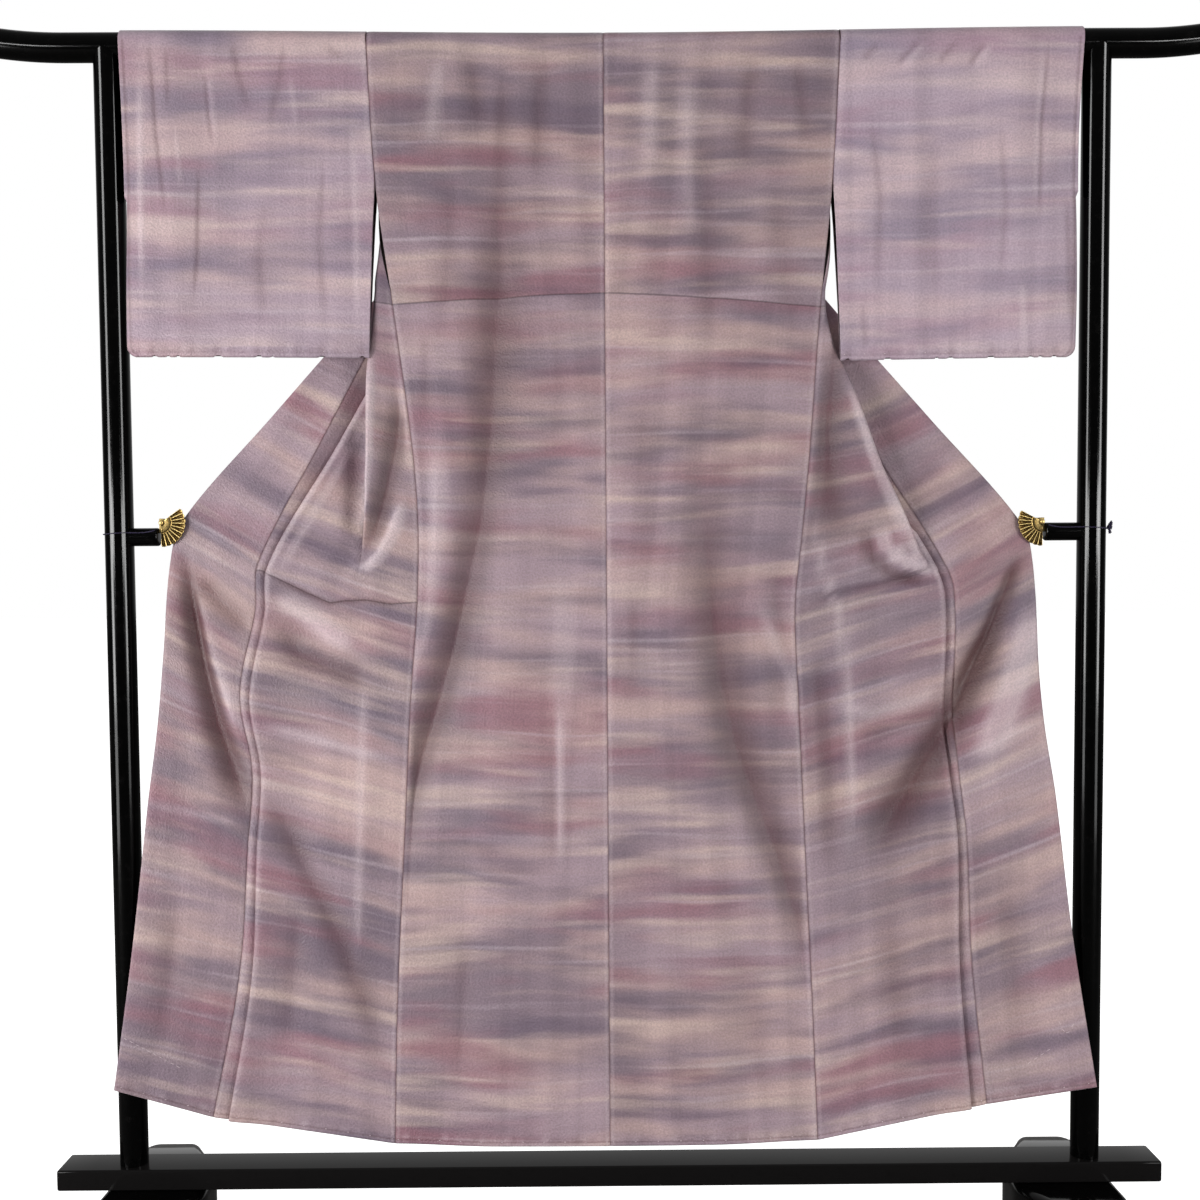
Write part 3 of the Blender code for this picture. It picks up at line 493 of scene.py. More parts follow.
def build_beam():
    """Rounded bar: sections along x, drawn in at both ends to round the end edges too."""
    half_x, half_y, half_z = (v / 2 for v in BEAM_SIZE)
    middle = BEAM_TOP - half_z
    edge = 0.003
    rings = []
    ends = [(0.0, 0.90), (0.0004, 0.963), (0.0012, 0.986), (0.003, 1.0)]
    stations = [(-half_x + d, s) for d, s in ends]
    stations += [(x, 1.0) for x in np.linspace(-half_x + 0.05, half_x - 0.05, 24)]
    stations += [(half_x - d, s) for d, s in ends[::-1]]
    corners = [(1, 1, 0), (-1, 1, 90), (-1, -1, 180), (1, -1, 270)]
    for x, scale in stations:
        ring = []
        for sy, sz, start in corners:
            for step in range(7):
                angle = math.radians(start + 90 * step / 6)
                y = sy * (half_y - edge) + edge * math.cos(angle)
                z = sz * (half_z - edge) + edge * math.sin(angle)
                shrink = (1 - scale) * BEAM_SIZE[2]
                ring.append((x, y - math.copysign(shrink, y),
                             middle + z - math.copysign(shrink, z)))
        rings.append(ring)
    beam = loft("lacquered_beam", rings, 50)
    finish_piece(beam, BEAM_LACQUER, "black_lacquer", "beam")


build_beam()

# %% Feet
# Half of each foot, from the beam to its tip: inner side, outer side and height of the top.
FOOT_TOP = 0.0577
FOOT = [
    "y inner outer top",
    (0.030, 0.580, 0.728, FOOT_TOP), (0.065, 0.596, 0.729, FOOT_TOP),
    (0.100, 0.614, 0.729, 0.0560), (0.140, 0.634, 0.728, 0.0490),
    (0.175, 0.648, 0.725, 0.0370), (0.197, 0.658, 0.720, 0.0220),
    (0.206, 0.665, 0.715, 0.0080),
]


def foot_section(y):
    """Ring across a foot at y: flat underside, upright sides, rounded top edges."""
    inner, outer, top = (read_table(FOOT, key, abs(y)) for key in ("inner", "outer", "top"))
    top = min(top, FOOT_TOP)
    edge = min(0.016, top * 0.45)
    ring = [(inner, y, 0.0)]
    for start, side_x in ((180, inner + edge), (90, outer - edge)):
        for step in range(9):
            angle = math.radians(start - 90 * step / 8)
            ring.append((side_x + edge * math.cos(angle), y, top - edge + edge * math.sin(angle)))
    ring.append((outer, y, 0.0))
    return ring


def build_foot(side, sign):
    """Foot under the beam, tip to tip."""
    half = list(np.linspace(0.0, 0.16, 15)) + list(np.linspace(0.166, 0.206, 14))
    ys = [-y for y in half[::-1]] + half[1:]
    rings = [[(sign * x, y, z) for x, y, z in foot_section(y)] for y in ys]
    foot = loft("lacquered_foot_" + side, rings, 60)
    finish_piece(foot, FOOT_LACQUER, "black_lacquer", "foot_" + side)


for side, sign in SIDES:
    build_foot(side, sign)
print("beam and feet built")

# %% [markdown]
# ## Gilt brass
# The clips are stamped from brass sheet, gilded and then rubbed with a dark wash that stays in
# the grooves. Clean high places show bright warm gold; low places are brown. The wash follows
# an attribute, `height`, that runs from 0 in the grooves to 1 on the ridges.

# %% Gilt brass
def gilt_brass():
    """Stamped, gilded brass with a dark wash in its grooves."""
    made, tree, shader = new_material("antiqued_gilt_brass", {"Metallic": 1.0})
    place = add_node(tree, "ShaderNodeTexCoord")
    grain = add_node(tree, "ShaderNodeTexNoise", {
        "Vector": place.outputs["Object"], "Scale": 1 / 0.0015, "Detail": 3.0})
    relief = add_node(tree, "ShaderNodeAttribute", attribute_name="height")
    # wear of the gilding: grain and height together
    wear_and_painted_crease_shade = add_node(tree, "ShaderNodeMath", {
        0: grain, 1: 0.40, 2: relief.outputs["Fac"]}, operation="MULTIPLY_ADD")
    clean = add_node(tree, "ShaderNodeMapRange", {
        "Value": wear_and_painted_crease_shade, "From Min": 0.35, "From Max": 1.05})
    tone = blend_in(tree, colour("#2e1e08"), colour("#f2d48c"), clean)
    rough = add_node(tree, "ShaderNodeMapRange", {"Value": clean, "To Min": 0.40, "To Max": 0.46})
    bump = add_node(tree, "ShaderNodeBump", {
        "Height": grain, "Strength": 0.3, "Distance": 0.0001})
    fill(shader, {"Base Color": tone, "Roughness": rough, "Normal": bump})
    return made


BRASS = gilt_brass()

# %% [markdown]
# ## Fan clips
# The front jaw of each clip is a small folding fan. Its blades are alike and follow a rule, one
# after another round the pivot, so a Geometry Nodes tree makes them from a single blade: a row
# of points, all at the pivot, each turned one step further. The inner leaf, its raised border
# and the pivot's stud are lofted and joined to the blades.

# %% Blade and its tree
FAN_INSET, FAN_Y = 0.0035, -0.0035
FAN_IN, FAN_OUT = 0.0150, 0.0348
FAN_PLEATS = 10


def set_values(mesh, name, values):
    """Store one value for each point of a mesh, for its finish to read."""
    layer = mesh.attributes.new(name, "FLOAT", "POINT")
    layer.data.foreach_set("value", np.asarray(values, dtype=np.float32))


def blade_mesh(step):
    """One ridged blade along +X, in the XZ plane, ridge towards -Y, `step` radians wide."""
    radii = (FAN_IN, FAN_IN + 0.0012, 0.026, FAN_OUT - 0.0018, FAN_OUT - 0.0003)
    sides = (-0.5, -0.41, -0.35, 0.0, 0.35, 0.41, 0.5)
    rise = (1.0, 1.0, 0.0, 0.22, 0.0, 1.0, 1.0)
    points, height = [], []
    for k, radius in enumerate(radii):
        for side, up in zip(sides, rise):
            reach = radius - (0.0012 * (2 * side) ** 2 if k == len(radii) - 1 else 0.0)
            lift = max(up, 0.6) if k == len(radii) - 1 else up
            points.append((reach * math.cos(side * step), -0.0002 - 0.0013 * lift,
                           reach * math.sin(side * step)))
            height.append(lift)
    width = len(sides)
    faces = [(a * width + n, a * width + n + 1, (a + 1) * width + n + 1, (a + 1) * width + n)
             for a in range(len(radii) - 1) for n in range(width - 1)]
    count = len(points)
    points += [(x, 0.0005, z) for x, _, z in points]
    height += [0.0] * count
    faces += [tuple(count + i for i in face[::-1]) for face in faces]
    rim = list(range(width)) + [a * width + width - 1 for a in range(1, len(radii))]
    rim += [count - 1 - n for n in range(1, width)]
    rim += [a * width for a in range(len(radii) - 2, 0, -1)]
    for a, b in zip(rim, rim[1:] + rim[:1]):
        faces.append((a, b, b + count, a + count))
    mesh = new_mesh("blade", points, faces)
    set_values(mesh, "height", height)
    return mesh


def new_tree(name, **inputs):
    """Geometry Nodes tree with these inputs, each name with its kind; and the inputs' sockets."""
    tree = bpy.data.node_groups.new(name, "GeometryNodeTree")
    for key, kind in inputs.items():
        tree.interface.new_socket(key, in_out="INPUT", socket_type="NodeSocket" + kind)
    tree.interface.new_socket("Geometry", in_out="OUTPUT", socket_type="NodeSocketGeometry")
    return tree, add_node(tree, "NodeGroupInput").outputs


def lay_copies(tree, piece, points, turn, finish):
    """End a tree with copies of a piece, one at each point and turned, all in one finish."""
    source = add_node(tree, "GeometryNodeObjectInfo", {"Object": piece})
    copies = add_node(tree, "GeometryNodeInstanceOnPoints", {
        "Points": points, "Instance": source.outputs["Geometry"], "Rotation": turn})
    real = add_node(tree, "GeometryNodeRealizeInstances", {0: copies})
    shown = add_node(tree, "GeometryNodeSetMaterial", {"Geometry": real, "Material": finish})
    add_node(tree, "NodeGroupOutput", {"Geometry": shown})
    return tree


def fan_tree():
    """Tree: copies of a blade turned step by step round the pivot."""
    tree, given = new_tree("fan_blades", Blade="Object", Count="Int", First="Float",
                           Step="Float", Finish="Material")
    line = add_node(tree, "GeometryNodeMeshLine", {
        "Count": given["Count"], "Offset": (0.0, 0.0, 0.0)})
    index = add_node(tree, "GeometryNodeInputIndex")
    angle = add_node(tree, "ShaderNodeMath", {
        0: index, 1: given["Step"], 2: given["First"]}, operation="MULTIPLY_ADD")
    turn = add_node(tree, "ShaderNodeCombineXYZ", {"Y": angle})
    return lay_copies(tree, given["Blade"], line, turn, given["Finish"])


def run_tree(name, tree, values, carrier=None):
    """Mesh made by a Geometry Nodes tree with these named inputs, from an optional carrier."""
    holder = add_object(name, carrier or bpy.data.meshes.new(name))
    modifier = holder.modifiers.new("tree", "NODES")
    modifier.node_group = tree
    sockets = {item.name: item.identifier for item in tree.interface.items_tree
               if item.in_out == "INPUT"}
    for key, value in values.items():
        modifier[sockets[key]] = value
    ready = holder.evaluated_get(bpy.context.evaluated_depsgraph_get())
    mesh = bpy.data.meshes.new_from_object(ready)
    bpy.data.objects.remove(holder)
    return mesh


FAN_TREE = fan_tree()

# %% Fan clips
def arc_strip(inner, outer, low, high, depth, height):
    """Raised band of a disc between two radii and two angles: points, faces and relief."""
    points, relief, steps = [], [], 20
    rise = [(inner, 0.0), (mix(inner, outer, 0.25), 0.8), (mix(inner, outer, 0.5), 1.0),
            (mix(inner, outer, 0.75), 0.8), (outer, 0.0)]
    for n in range(steps + 1):
        angle = mix(low, high, n / steps)
        for radius, up in rise:
            points.append((radius * math.cos(angle), -depth * up, radius * math.sin(angle)))
            relief.append(height * (0.3 + 0.7 * up))
        for radius in (outer, inner):
            points.append((radius * math.cos(angle), 0.0005, radius * math.sin(angle)))
            relief.append(0.0)
    return points, ring_faces(steps + 1, len(rise) + 2), relief


def dome_stud(radius, rise):
    """The pivot's stud, a low dome with a short neck."""
    points, relief, around = [], [], 16
    profile = [(radius * 0.8, 0.0004), (radius, -rise * 0.3), (radius * 0.9, -rise * 0.62),
               (radius * 0.6, -rise * 0.9), (radius * 0.2, -rise)]
    for reach, y in profile:
        for angle in circle(around):
            points.append((reach * math.cos(angle), y, reach * math.sin(angle)))
            relief.append(0.2 + 0.8 * (y < -rise * 0.5))
    return points, ring_faces(len(profile), around), relief


def build_fan(side, sign):
    """Front jaw of one clip: blades, inner leaf, border, stud and edge ribs in one mesh."""
    clip = CLIPS[side]
    low, high = math.radians(-90), math.radians(clip.top_angle)
    step = (high - low) / FAN_PLEATS
    blade = bpy.data.objects.new("blade", blade_mesh(step * 0.98))
    mesh = run_tree("blades", FAN_TREE, {
        "Blade": blade, "Count": FAN_PLEATS, "First": -(low + step / 2), "Step": -step,
        "Finish": BRASS})
    points = [tuple(v.co) for v in mesh.vertices]
    faces = [tuple(p.vertices) for p in mesh.polygons]
    relief = [item.value for item in mesh.attributes["height"].data]
    bpy.data.objects.remove(blade)
    for more, joined, heights in (
            arc_strip(0.0035, 0.0144, low, high, 0.0006, 0.42),
            arc_strip(0.0140, 0.0158, low, high, 0.0018, 1.0),
            arc_strip(0.0090, 0.0098, low, high, 0.0010, 0.8),
            arc_strip(0.0050, 0.0144, high - 0.09, high, 0.0012, 1.0),
            arc_strip(0.0050, 0.0144, low, low + 0.09, 0.0012, 1.0),
            dome_stud(0.0036, 0.0030)):
        faces += [tuple(len(points) + i for i in face) for face in joined]
        points += more
        relief += heights
    places = [(sign * (clip.tip - FAN_INSET - x), FAN_Y + y, clip.pivot_z + z)
              for x, y, z in points]
    turned = faces if sign > 0 else [face[::-1] for face in faces]
    fan = new_mesh("fan_clip_" + side, places, turned)
    set_values(fan, "height", relief)
    face_outwards(fan, 50)
    made = add_object("fan_clip_" + side, fan)
    finish_piece(made, BRASS, "gilt_brass", "fan_" + side)
    print(made.name, len(fan.polygons), "faces")


for side, sign in SIDES:
    build_fan(side, sign)

# %% Back jaws
HINGE, JAW_LENGTH, JAW_THICK = 0.0065, 0.034, 0.0016


def build_jaw(side, sign):
    """Back jaw with its hinge block."""
    clip = CLIPS[side]
    front, back = FAN_Y + 0.0008, 0.0084
    hinge = clip.tip - GAP
    outline = [
        (hinge, front), (hinge, back), (hinge - JAW_LENGTH, back),
        (hinge - JAW_LENGTH, back - JAW_THICK), (hinge - HINGE, back - JAW_THICK),
        (hinge - HINGE, front)]
    rings = []
    for z, drawn in ((-0.014, 0.0004), (-0.0136, 0.0), (0.0056, 0.0), (0.006, 0.0004)):
        middle = (hinge - 0.002, (front + back) / 2)
        ring = [(sign * (x - math.copysign(drawn, x - middle[0])),
                 y - math.copysign(drawn, y - middle[1]), clip.pivot_z + z)
                for x, y in outline]
        rings.append(ring)
    jaw = loft("clip_jaw_" + side, rings, 30)
    bevel = jaw.modifiers.new("eased edges", "BEVEL")
    bevel.width, bevel.segments = 0.0003, 2
    set_values(jaw.data, "height", [0.55] * len(jaw.data.vertices))
    finish_piece(jaw, BRASS, "gilt_brass", "jaw_" + side)


for side, sign in SIDES:
    build_jaw(side, sign)
print("clips built")

# %% [markdown]
# ## Cords
# A thin purple silk cord ties each clip to its post: along the peg, once round the post, and
# back, with a small bow on the outer side of the right post. It is two strands laid round each
# other. Both strands are lofted along the cord's line, half a turn apart.

# %% Cord material and line
def silk_cord():
    """Dyed silk, twisted: soft sheen, darker between the strands."""
    made, tree, shader = new_material("dyed_silk_cord", {
        "Roughness": 0.6, "Sheen Weight": 0.15, "Sheen Roughness": 0.4})
    place = add_node(tree, "ShaderNodeTexCoord")
    fibre = add_node(tree, "ShaderNodeTexNoise", {
        "Vector": place.outputs["Object"], "Scale": 1 / 0.0008, "Detail": 2.0})
    tone = blend_in(tree, colour("#140c24"), colour("#2c1f4c"), fibre)
    fill(shader, {"Base Color": tone})
    return made


CORD = silk_cord()
CORD_R, BOW_R = 0.00085, 0.0021


def smooth_path(points, spacing):
    """Evenly spaced points on a smooth curve through the given ones."""
    points = np.asarray(points, float)
    along = run_length(points)
    count = max(int(along[-1] / spacing), 4)
    at = np.linspace(0, along[-1], count)
    return np.stack([curve_through(along, points[:, k], at) for k in range(3)], axis=1)


def twisted_strands(path, radius, pitch):
    """Two strands round a path: points and faces of both tubes, ends closed."""
    tangent = unit(np.gradient(path, axis=0))
    side = unit(np.cross(tangent, (0.03, 0.05, 1.0)))
    lift = np.cross(side, tangent)
    points, faces, sides = [], [], 6
    for strand in (0.0, math.pi):
        turn = 2 * math.pi * run_length(path) / pitch + strand
        heart = path + radius * 0.48 * (np.cos(turn)[:, None] * side
                                        + np.sin(turn)[:, None] * lift)
        faces += ring_faces(len(heart), sides, len(points))
        for k, centre in enumerate(heart):
            for angle in circle(sides):
                points.append(centre + radius * 0.52 * (
                    math.cos(angle) * side[k] + math.sin(angle) * lift[k]))
    return points, faces


def build_tie(side, sign):
    """Cord of one clip, with its bow on the right-hand post."""
    off_peg, ring = PEG_R + 0.0012, POST_R + 0.0015
    tip, z = CLIPS[side].tip, PEG_Z + 0.005
    start = math.pi - math.asin(off_peg / ring) * 1.02
    line = [(tip + 0.002, -off_peg, z + 0.004), (tip + 0.018, -off_peg, z + 0.001)]
    for n in range(23):
        angle = -start + 2 * start * n / 22
        line.append((POST_X + ring * math.cos(angle), ring * math.sin(angle),
                     z - 0.0012 * math.cos(angle)))
    line += [(tip + 0.018, off_peg, z), (tip + 0.002, off_peg, z)]
    runs = [smooth_path(line, 0.0011)]
    if side == "right":
        runs += bow_lines(POST_X + ring, z)
    points, faces = [], []
    for run in runs:
        more, extra = twisted_strands(run, CORD_R if run is runs[0] else BOW_R, 0.0042)
        faces += [tuple(len(points) + i for i in face) for face in extra]
        points += more
    places = [(sign * x, y, height) for x, y, height in points]
    tie = mesh_object("silk_tie_" + side, places, faces)
    finish_piece(tie, CORD, "purple_cord", "tie_" + side)


def bow_lines(out, z):
    """Loops, knot and tails of the small bow, just outside the post."""
    centre = np.array((out + 0.0012, -0.0035, z))
    loop = [(0, 0, 0), (0.0016, -0.001, 0.0046), (0.0042, -0.0015, 0.0082),
            (0.0046, -0.0010, 0.0050), (0.0022, -0.0005, 0.0010), (0, 0, 0)]
    other = [(0, 0, 0), (0.0030, 0.001, -0.0012), (0.0052, 0.001, -0.0008),
             (0.0050, 0.0005, 0.0014), (0.0026, 0, 0.0016), (0, 0, 0)]
    knot = [(0.0012 * math.cos(a), -0.0016, 0.0016 * math.sin(a)) for a in np.linspace(0, 6.3, 9)]
    tail = [(0, -0.001, 0), (0.0010, -0.003, -0.0045), (0.0008, -0.0035, -0.0085)]
    second = [(0, 0, 0), (0.0026, -0.001, -0.0050), (0.0030, -0.0015, -0.0075)]
    return [smooth_path(centre + np.array(part), 0.0009)
            for part in (loop, other, knot, tail, second)]


for side, sign in SIDES:
    build_tie(side, sign)
print("cords tied")

# %% [markdown]
# ## Crepe silk
# The cloth is chirimen, a silk crepe: hard-twisted weft yarns shrink after weaving and pull the
# surface into a fine pebble, which breaks up the silk's shine into a soft sheen. It is dyed
# with brushed haze, long streaks that run with the weft and fade into each other: greyed
# lavender, dusty rose, slate and cream. The pattern reads the cloth's own map in metres (U along
# the weft, V along the warp), so it follows every fold and breaks at every seam as cut cloth
# does. Most streaks are 30-70 mm high and 200-400 mm long. Real crepe grain is about 1 mm; it
# is drawn at 3 mm, as coarse as it needs to be to show from where a viewer stands.

# %% Dyed silk
def streaks(tree, place, across, along, seed, detail, low, high):
    """Mask of long soft streaks, `across` metres long and `along` metres high."""
    stretched = add_node(tree, "ShaderNodeMapping", {
        "Vector": place, "Scale": (1 / across, 1 / along, 1.0), "Location": (seed, seed, seed)})
    noise = add_node(tree, "ShaderNodeTexNoise", {
        "Vector": stretched, "Scale": 1.0, "Detail": detail, "Roughness": 0.5})
    mask = add_node(tree, "ShaderNodeMapRange", {
        "Value": noise, "From Min": low, "From Max": high},
        interpolation_type="SMOOTHSTEP")
    return mask


def dyed_place(tree, cloth, tuck):
    """Where the dyes are read: the cloth's map, wandering a little and shifted below the tuck."""
    drift = add_node(tree, "ShaderNodeTexNoise", {
        "Vector": cloth, "Scale": 1 / 0.26, "Detail": 1.0})
    offset = add_node(tree, "ShaderNodeVectorMath", {
        0: drift.outputs["Color"], 1: (0.0, 0.026, 0.0)}, operation="MULTIPLY")
    below = add_node(tree, "ShaderNodeMath", {0: tuck, 1: 0.0}, operation="GREATER_THAN")
    jump = add_node(tree, "ShaderNodeVectorMath", {
        0: (0.55, 0.83, 0.0), "Scale": below}, operation="SCALE")
    moved = add_node(tree, "ShaderNodeVectorMath", {0: cloth, 1: jump})
    return add_node(tree, "ShaderNodeVectorMath", {0: moved, 1: offset})


def dyed_tone(tree, place, strength):
    """The brushed dyes, one over another."""
    tone = blend_in(tree, colour("#a69099"), colour("#7c6c77"),
                    streaks(tree, place, 0.50, 0.24, 5.3, 1.5, 0.40, 0.66), 0.85)
    for over, across, along, seed, detail, low, high, amount in (
            ("#bfa39f", 0.30, 0.060, 11.7, 3.0, 0.42, 0.68, 0.85),
            ("#6e606f", 0.30, 0.066, 3.1, 2.5, 0.47, 0.70, 0.85),
            ("#936974", 0.24, 0.052, 23.4, 2.5, 0.48, 0.74, 0.85),
            ("#cfb7ae", 0.30, 0.030, 51.2, 2.5, 0.50, 0.78, 0.75),
            ("#69596a", 0.26, 0.036, 66.6, 2.0, 0.53, 0.80, 0.65),
            ("#d3c4cb", 0.36, 0.012, 81.9, 1.0, 0.56, 0.90, 0.40)):
        mask = streaks(tree, place, across, along, seed, detail, low, high)
        tone = blend_in(tree, tone, colour(over), mask, amount * strength)
    return tone


def crepe_silk(name, strength, painted_paleness=0.0):
    """Haze-dyed silk crepe: how strongly the dyes stand out, and how far painted light pales it.
    """
    made, tree, shader = new_material(name, {
        "IOR": 1.45, "Specular IOR Level": 0.45, "Sheen Weight": 0.22, "Sheen Roughness": 0.35})
    cloth = add_node(tree, "ShaderNodeUVMap", uv_map="cloth")
    tuck = add_node(tree, "ShaderNodeAttribute", attribute_name="tuck").outputs["Fac"]
    place = dyed_place(tree, cloth, tuck)
    tone = dyed_tone(tree, place, strength)
    near = add_node(tree, "ShaderNodeMath", {0: tuck}, operation="ABSOLUTE")
    stitched = add_node(tree, "ShaderNodeMapRange", {
        "Value": near, "From Min": 0.0006, "From Max": 0.0016, "To Min": 1.0, "To Max": 0.0})
    tone = blend_in(tree, tone, colour("#3a2b33"), stitched, 0.55)
    # painted light: the whole cloth paled towards a light lilac
    tone = blend_in(tree, tone, colour("#d6c4d8"), painted_paleness)
    # `fold` holds painted light and shade as well as the dark lines of seams and stitches: above
    # 0, painted shade in fold bottoms, under the stored fold and round the clips; below 0, painted
    # light on ridges and on cloth rolling into seams.
    fold = add_node(tree, "ShaderNodeAttribute", attribute_name="fold").outputs["Fac"]
    # painted highlight: ridges lightened towards a pale pink
    ridge = add_node(tree, "ShaderNodeMath", {0: fold, 1: -1.0}, operation="MULTIPLY",
                     use_clamp=True)
    tone = blend_in(tree, tone, colour("#f0dde2"), ridge)
    # painted shade in troughs and under edges, with the dark seam lines, towards a deep red-brown
    seams_and_painted_shade = add_node(tree, "ShaderNodeClamp", {"Value": fold})
    tone = blend_in(tree, tone, colour("#4a2426"), seams_and_painted_shade)
    pebble = add_node(tree, "ShaderNodeTexNoise", {
        "Vector": cloth, "Scale": 1 / 0.0030, "Detail": 1.5, "Roughness": 0.6})
    # pebble tone, partly painted light: the grain's high spots lightened like glints, its low
    # spots darkened
    pebble_and_painted_light = add_node(tree, "ShaderNodeMapRange", {
        "Value": pebble, "From Min": 0.36, "From Max": 0.66, "To Min": 0.86, "To Max": 1.08})
    # painted shade and light of hanging creases: long bands 30 mm across scale the colour from
    # 0.90 to 1.06
    painted_crease_mask = streaks(tree, place, 0.030, 1.10, 7.7, 2.0, 0.30, 0.70)
    wear_and_painted_crease_shade = add_node(tree, "ShaderNodeMapRange", {"Value": painted_crease_mask, "To Min": 0.90, "To Max": 1.06})
    pebble_and_painted_light = add_node(tree, "ShaderNodeMath", {0: pebble_and_painted_light, 1: wear_and_painted_crease_shade}, operation="MULTIPLY")
    tone = add_node(tree, "ShaderNodeVectorMath", {0: tone, "Scale": pebble_and_painted_light}, operation="SCALE")
    bump = add_node(tree, "ShaderNodeBump", {
        "Height": pebble, "Strength": 0.9, "Distance": 0.0012})
    rough = add_node(tree, "ShaderNodeMapRange", {
        "Value": pebble, "To Min": 0.40, "To Max": 0.58})
    fill(shader, {"Base Color": tone, "Roughness": rough, "Normal": bump})
    return made


SILK_CLOTH = crepe_silk("haze_dyed_silk_crepe", strength=1.0)
# Painted light: the sleeves are paled where less light reaches them, the right one most.
SLEEVE_CLOTH = {side: crepe_silk("haze_dyed_silk_crepe_sleeve_" + side, strength=1.25, painted_paleness=painted_paleness)
                for side, painted_paleness in (("left", 0.20), ("right", 0.32))}

# %% [markdown]
# The lining shows only inside the sleeves' openings and between the layers: a plain, smooth
# brown silk, its colour darkened to near black as painted shade so that the openings look deep.

# %% Lining
def lining_silk():
    """Plain-woven brown silk: even colour with faint slubs, low sheen."""
    made, tree, shader = new_material("plain_lining_silk", {"Roughness": 0.55, "IOR": 1.45})
    cloth = add_node(tree, "ShaderNodeUVMap", uv_map="cloth")
    long = add_node(tree, "ShaderNodeMapping", {
        "Vector": cloth, "Scale": (1 / 0.05, 1 / 0.0022, 1.0)})
    slub = add_node(tree, "ShaderNodeTexNoise", {"Vector": long, "Scale": 1.0, "Detail": 2.0})
    # painted shade: the lining's browns are kept near black so the openings read as deep shadow
    tone = blend_in(tree, colour("#221413"), colour("#382422"), slub)
    bump = add_node(tree, "ShaderNodeBump", {"Height": slub, "Strength": 0.3, "Distance": 0.0003})
    fill(shader, {"Base Color": tone, "Normal": bump})
    return made


LINING = lining_silk()
print("silks mixed")

# %% [markdown]
# ## The garment's lines
# A kimono is cut from straight strips, so its shape is a few edges and what happens between
# them. The tables give those edges where the cloth hangs: the back's side seam, the front's
# inner edge, the overlap panel's outer edge, and how far each front's near layer reaches before
# it folds back. `reach` is the length of cloth from the shoulder fold, and `depth` is y.

# %% Edges of the body
SILK = 0.0015                # outer silk and lining together
WRAP_R = RAIL_R + 0.0007 + SILK / 2
QUARTER = WRAP_R * math.pi / 2
LENGTH, ATTACH, UNDERARM, CLIP, POINT = 1.584, 0.235, 0.370, 0.850, 0.325
FRONT_WIDTH, NECK_HALF, NECK_ANGLE = 0.245, 0.088, math.radians(45)
SEAM = [
    "z left right depth",
    (0.120, 0.310, 0.300, -0.0120), (0.330, 0.3035, 0.2915, -0.0120),
    (0.570, 0.290, 0.280, -0.0125), (0.760, 0.279, 0.2715, -0.0130),
    (0.890, 0.2685, 0.2665, -0.0135), (1.000, 0.265, 0.277, -0.0135),
    (1.110, 0.271, 0.287, -0.0135), (1.310, 0.2955, 0.3015, -0.0145),
    (1.485, 0.3175, 0.3175, -0.0205), (1.700, 0.328, 0.328, -WRAP_R),
]
FRONT_EDGE = [
    "reach left left_z right right_z depth",
    (0.034, 0.0880, 1.6720, 0.0880, 1.6720, WRAP_R),
    (0.085, 0.1080, 1.6280, 0.1050, 1.6280, 0.0340),
    (0.140, 0.1370, 1.5790, 0.1310, 1.5780, 0.0400),
    (0.230, 0.1900, 1.4980, 0.1820, 1.4950, 0.0340),
    (0.325, 0.2540, 1.4100, 0.2470, 1.4050, 0.0230),
    (0.510, 0.3430, 1.2420, 0.3250, 1.2400, 0.0110),
    (0.630, 0.4030, 1.1300, 0.3820, 1.1120, 0.0070),
    (0.815, 0.4950, 0.9560, 0.4860, 0.9410, 0.0020),
    (0.880, 0.5000, 0.8910, 0.4970, 0.8840, 0.0010),
    (1.000, 0.5240, 0.7680, 0.4960, 0.7610, -0.0010),
    (1.100, 0.5090, 0.6650, 0.5020, 0.6600, -0.0030),
    (1.200, 0.5150, 0.5620, 0.5140, 0.5600, -0.0050),
    (1.385, 0.5300, 0.3680, 0.5220, 0.3750, -0.0090),
    (1.584, 0.5710, 0.1590, 0.5440, 0.1690, -0.0120),
]
OVERLAP_EDGE = [
    FRONT_EDGE[0],
    (0.325, 0.2560, 1.4110, 0.2490, 1.4060, 0.0230),
    (0.510, 0.3845, 1.2640, 0.3680, 1.2620, 0.0120),
    (0.630, 0.4710, 1.1650, 0.4620, 1.1540, 0.0080),
    (0.815, 0.6000, 1.0160, 0.5900, 1.0050, 0.0010),
    (0.880, 0.6190, 0.9560, 0.6070, 0.9480, 0.0000),
    (1.000, 0.6310, 0.8230, 0.6140, 0.8200, -0.0030),
    (1.100, 0.6400, 0.7220, 0.6230, 0.7200, -0.0080),
    (1.200, 0.6530, 0.6150, 0.6380, 0.6150, -0.0160),
    (1.385, 0.6770, 0.4080, 0.6600, 0.4230, -0.0250),
    (1.584, 0.7070, 0.2050, 0.6970, 0.1980, -0.0270),
]
NEAR_LAYER = [
    "reach left right",
    (0.034, 0.010, 0.006), (0.306, 0.011, 0.005), (0.390, 0.026, 0.006),
    (0.450, 0.040, 0.023), (0.490, 0.050, 0.042), (0.630, 0.068, 0.102),
    (0.700, 0.074, 0.138), (0.770, 0.081, 0.172), (0.798, 0.083, 0.185),
    (0.822, 0.085, 0.152), (1.584, 0.100, 0.150),
]
STORED = [                   # how far the stored fold lies from the overlap seam
    "reach width",
    (0.420, 0.032), (0.630, 0.027), (0.800, 0.018), (1.000, 0.018), (1.200, 0.017),
    (1.400, 0.022), (1.584, 0.026),
]


def hang_height(reach):
    """Height of cloth that hangs plumb, reach metres from the shoulder fold."""
    return RAIL_Z + QUARTER - reach


def seam_out(side, z):
    """Half width of the back at height z."""
    return read_table(SEAM, side, z)


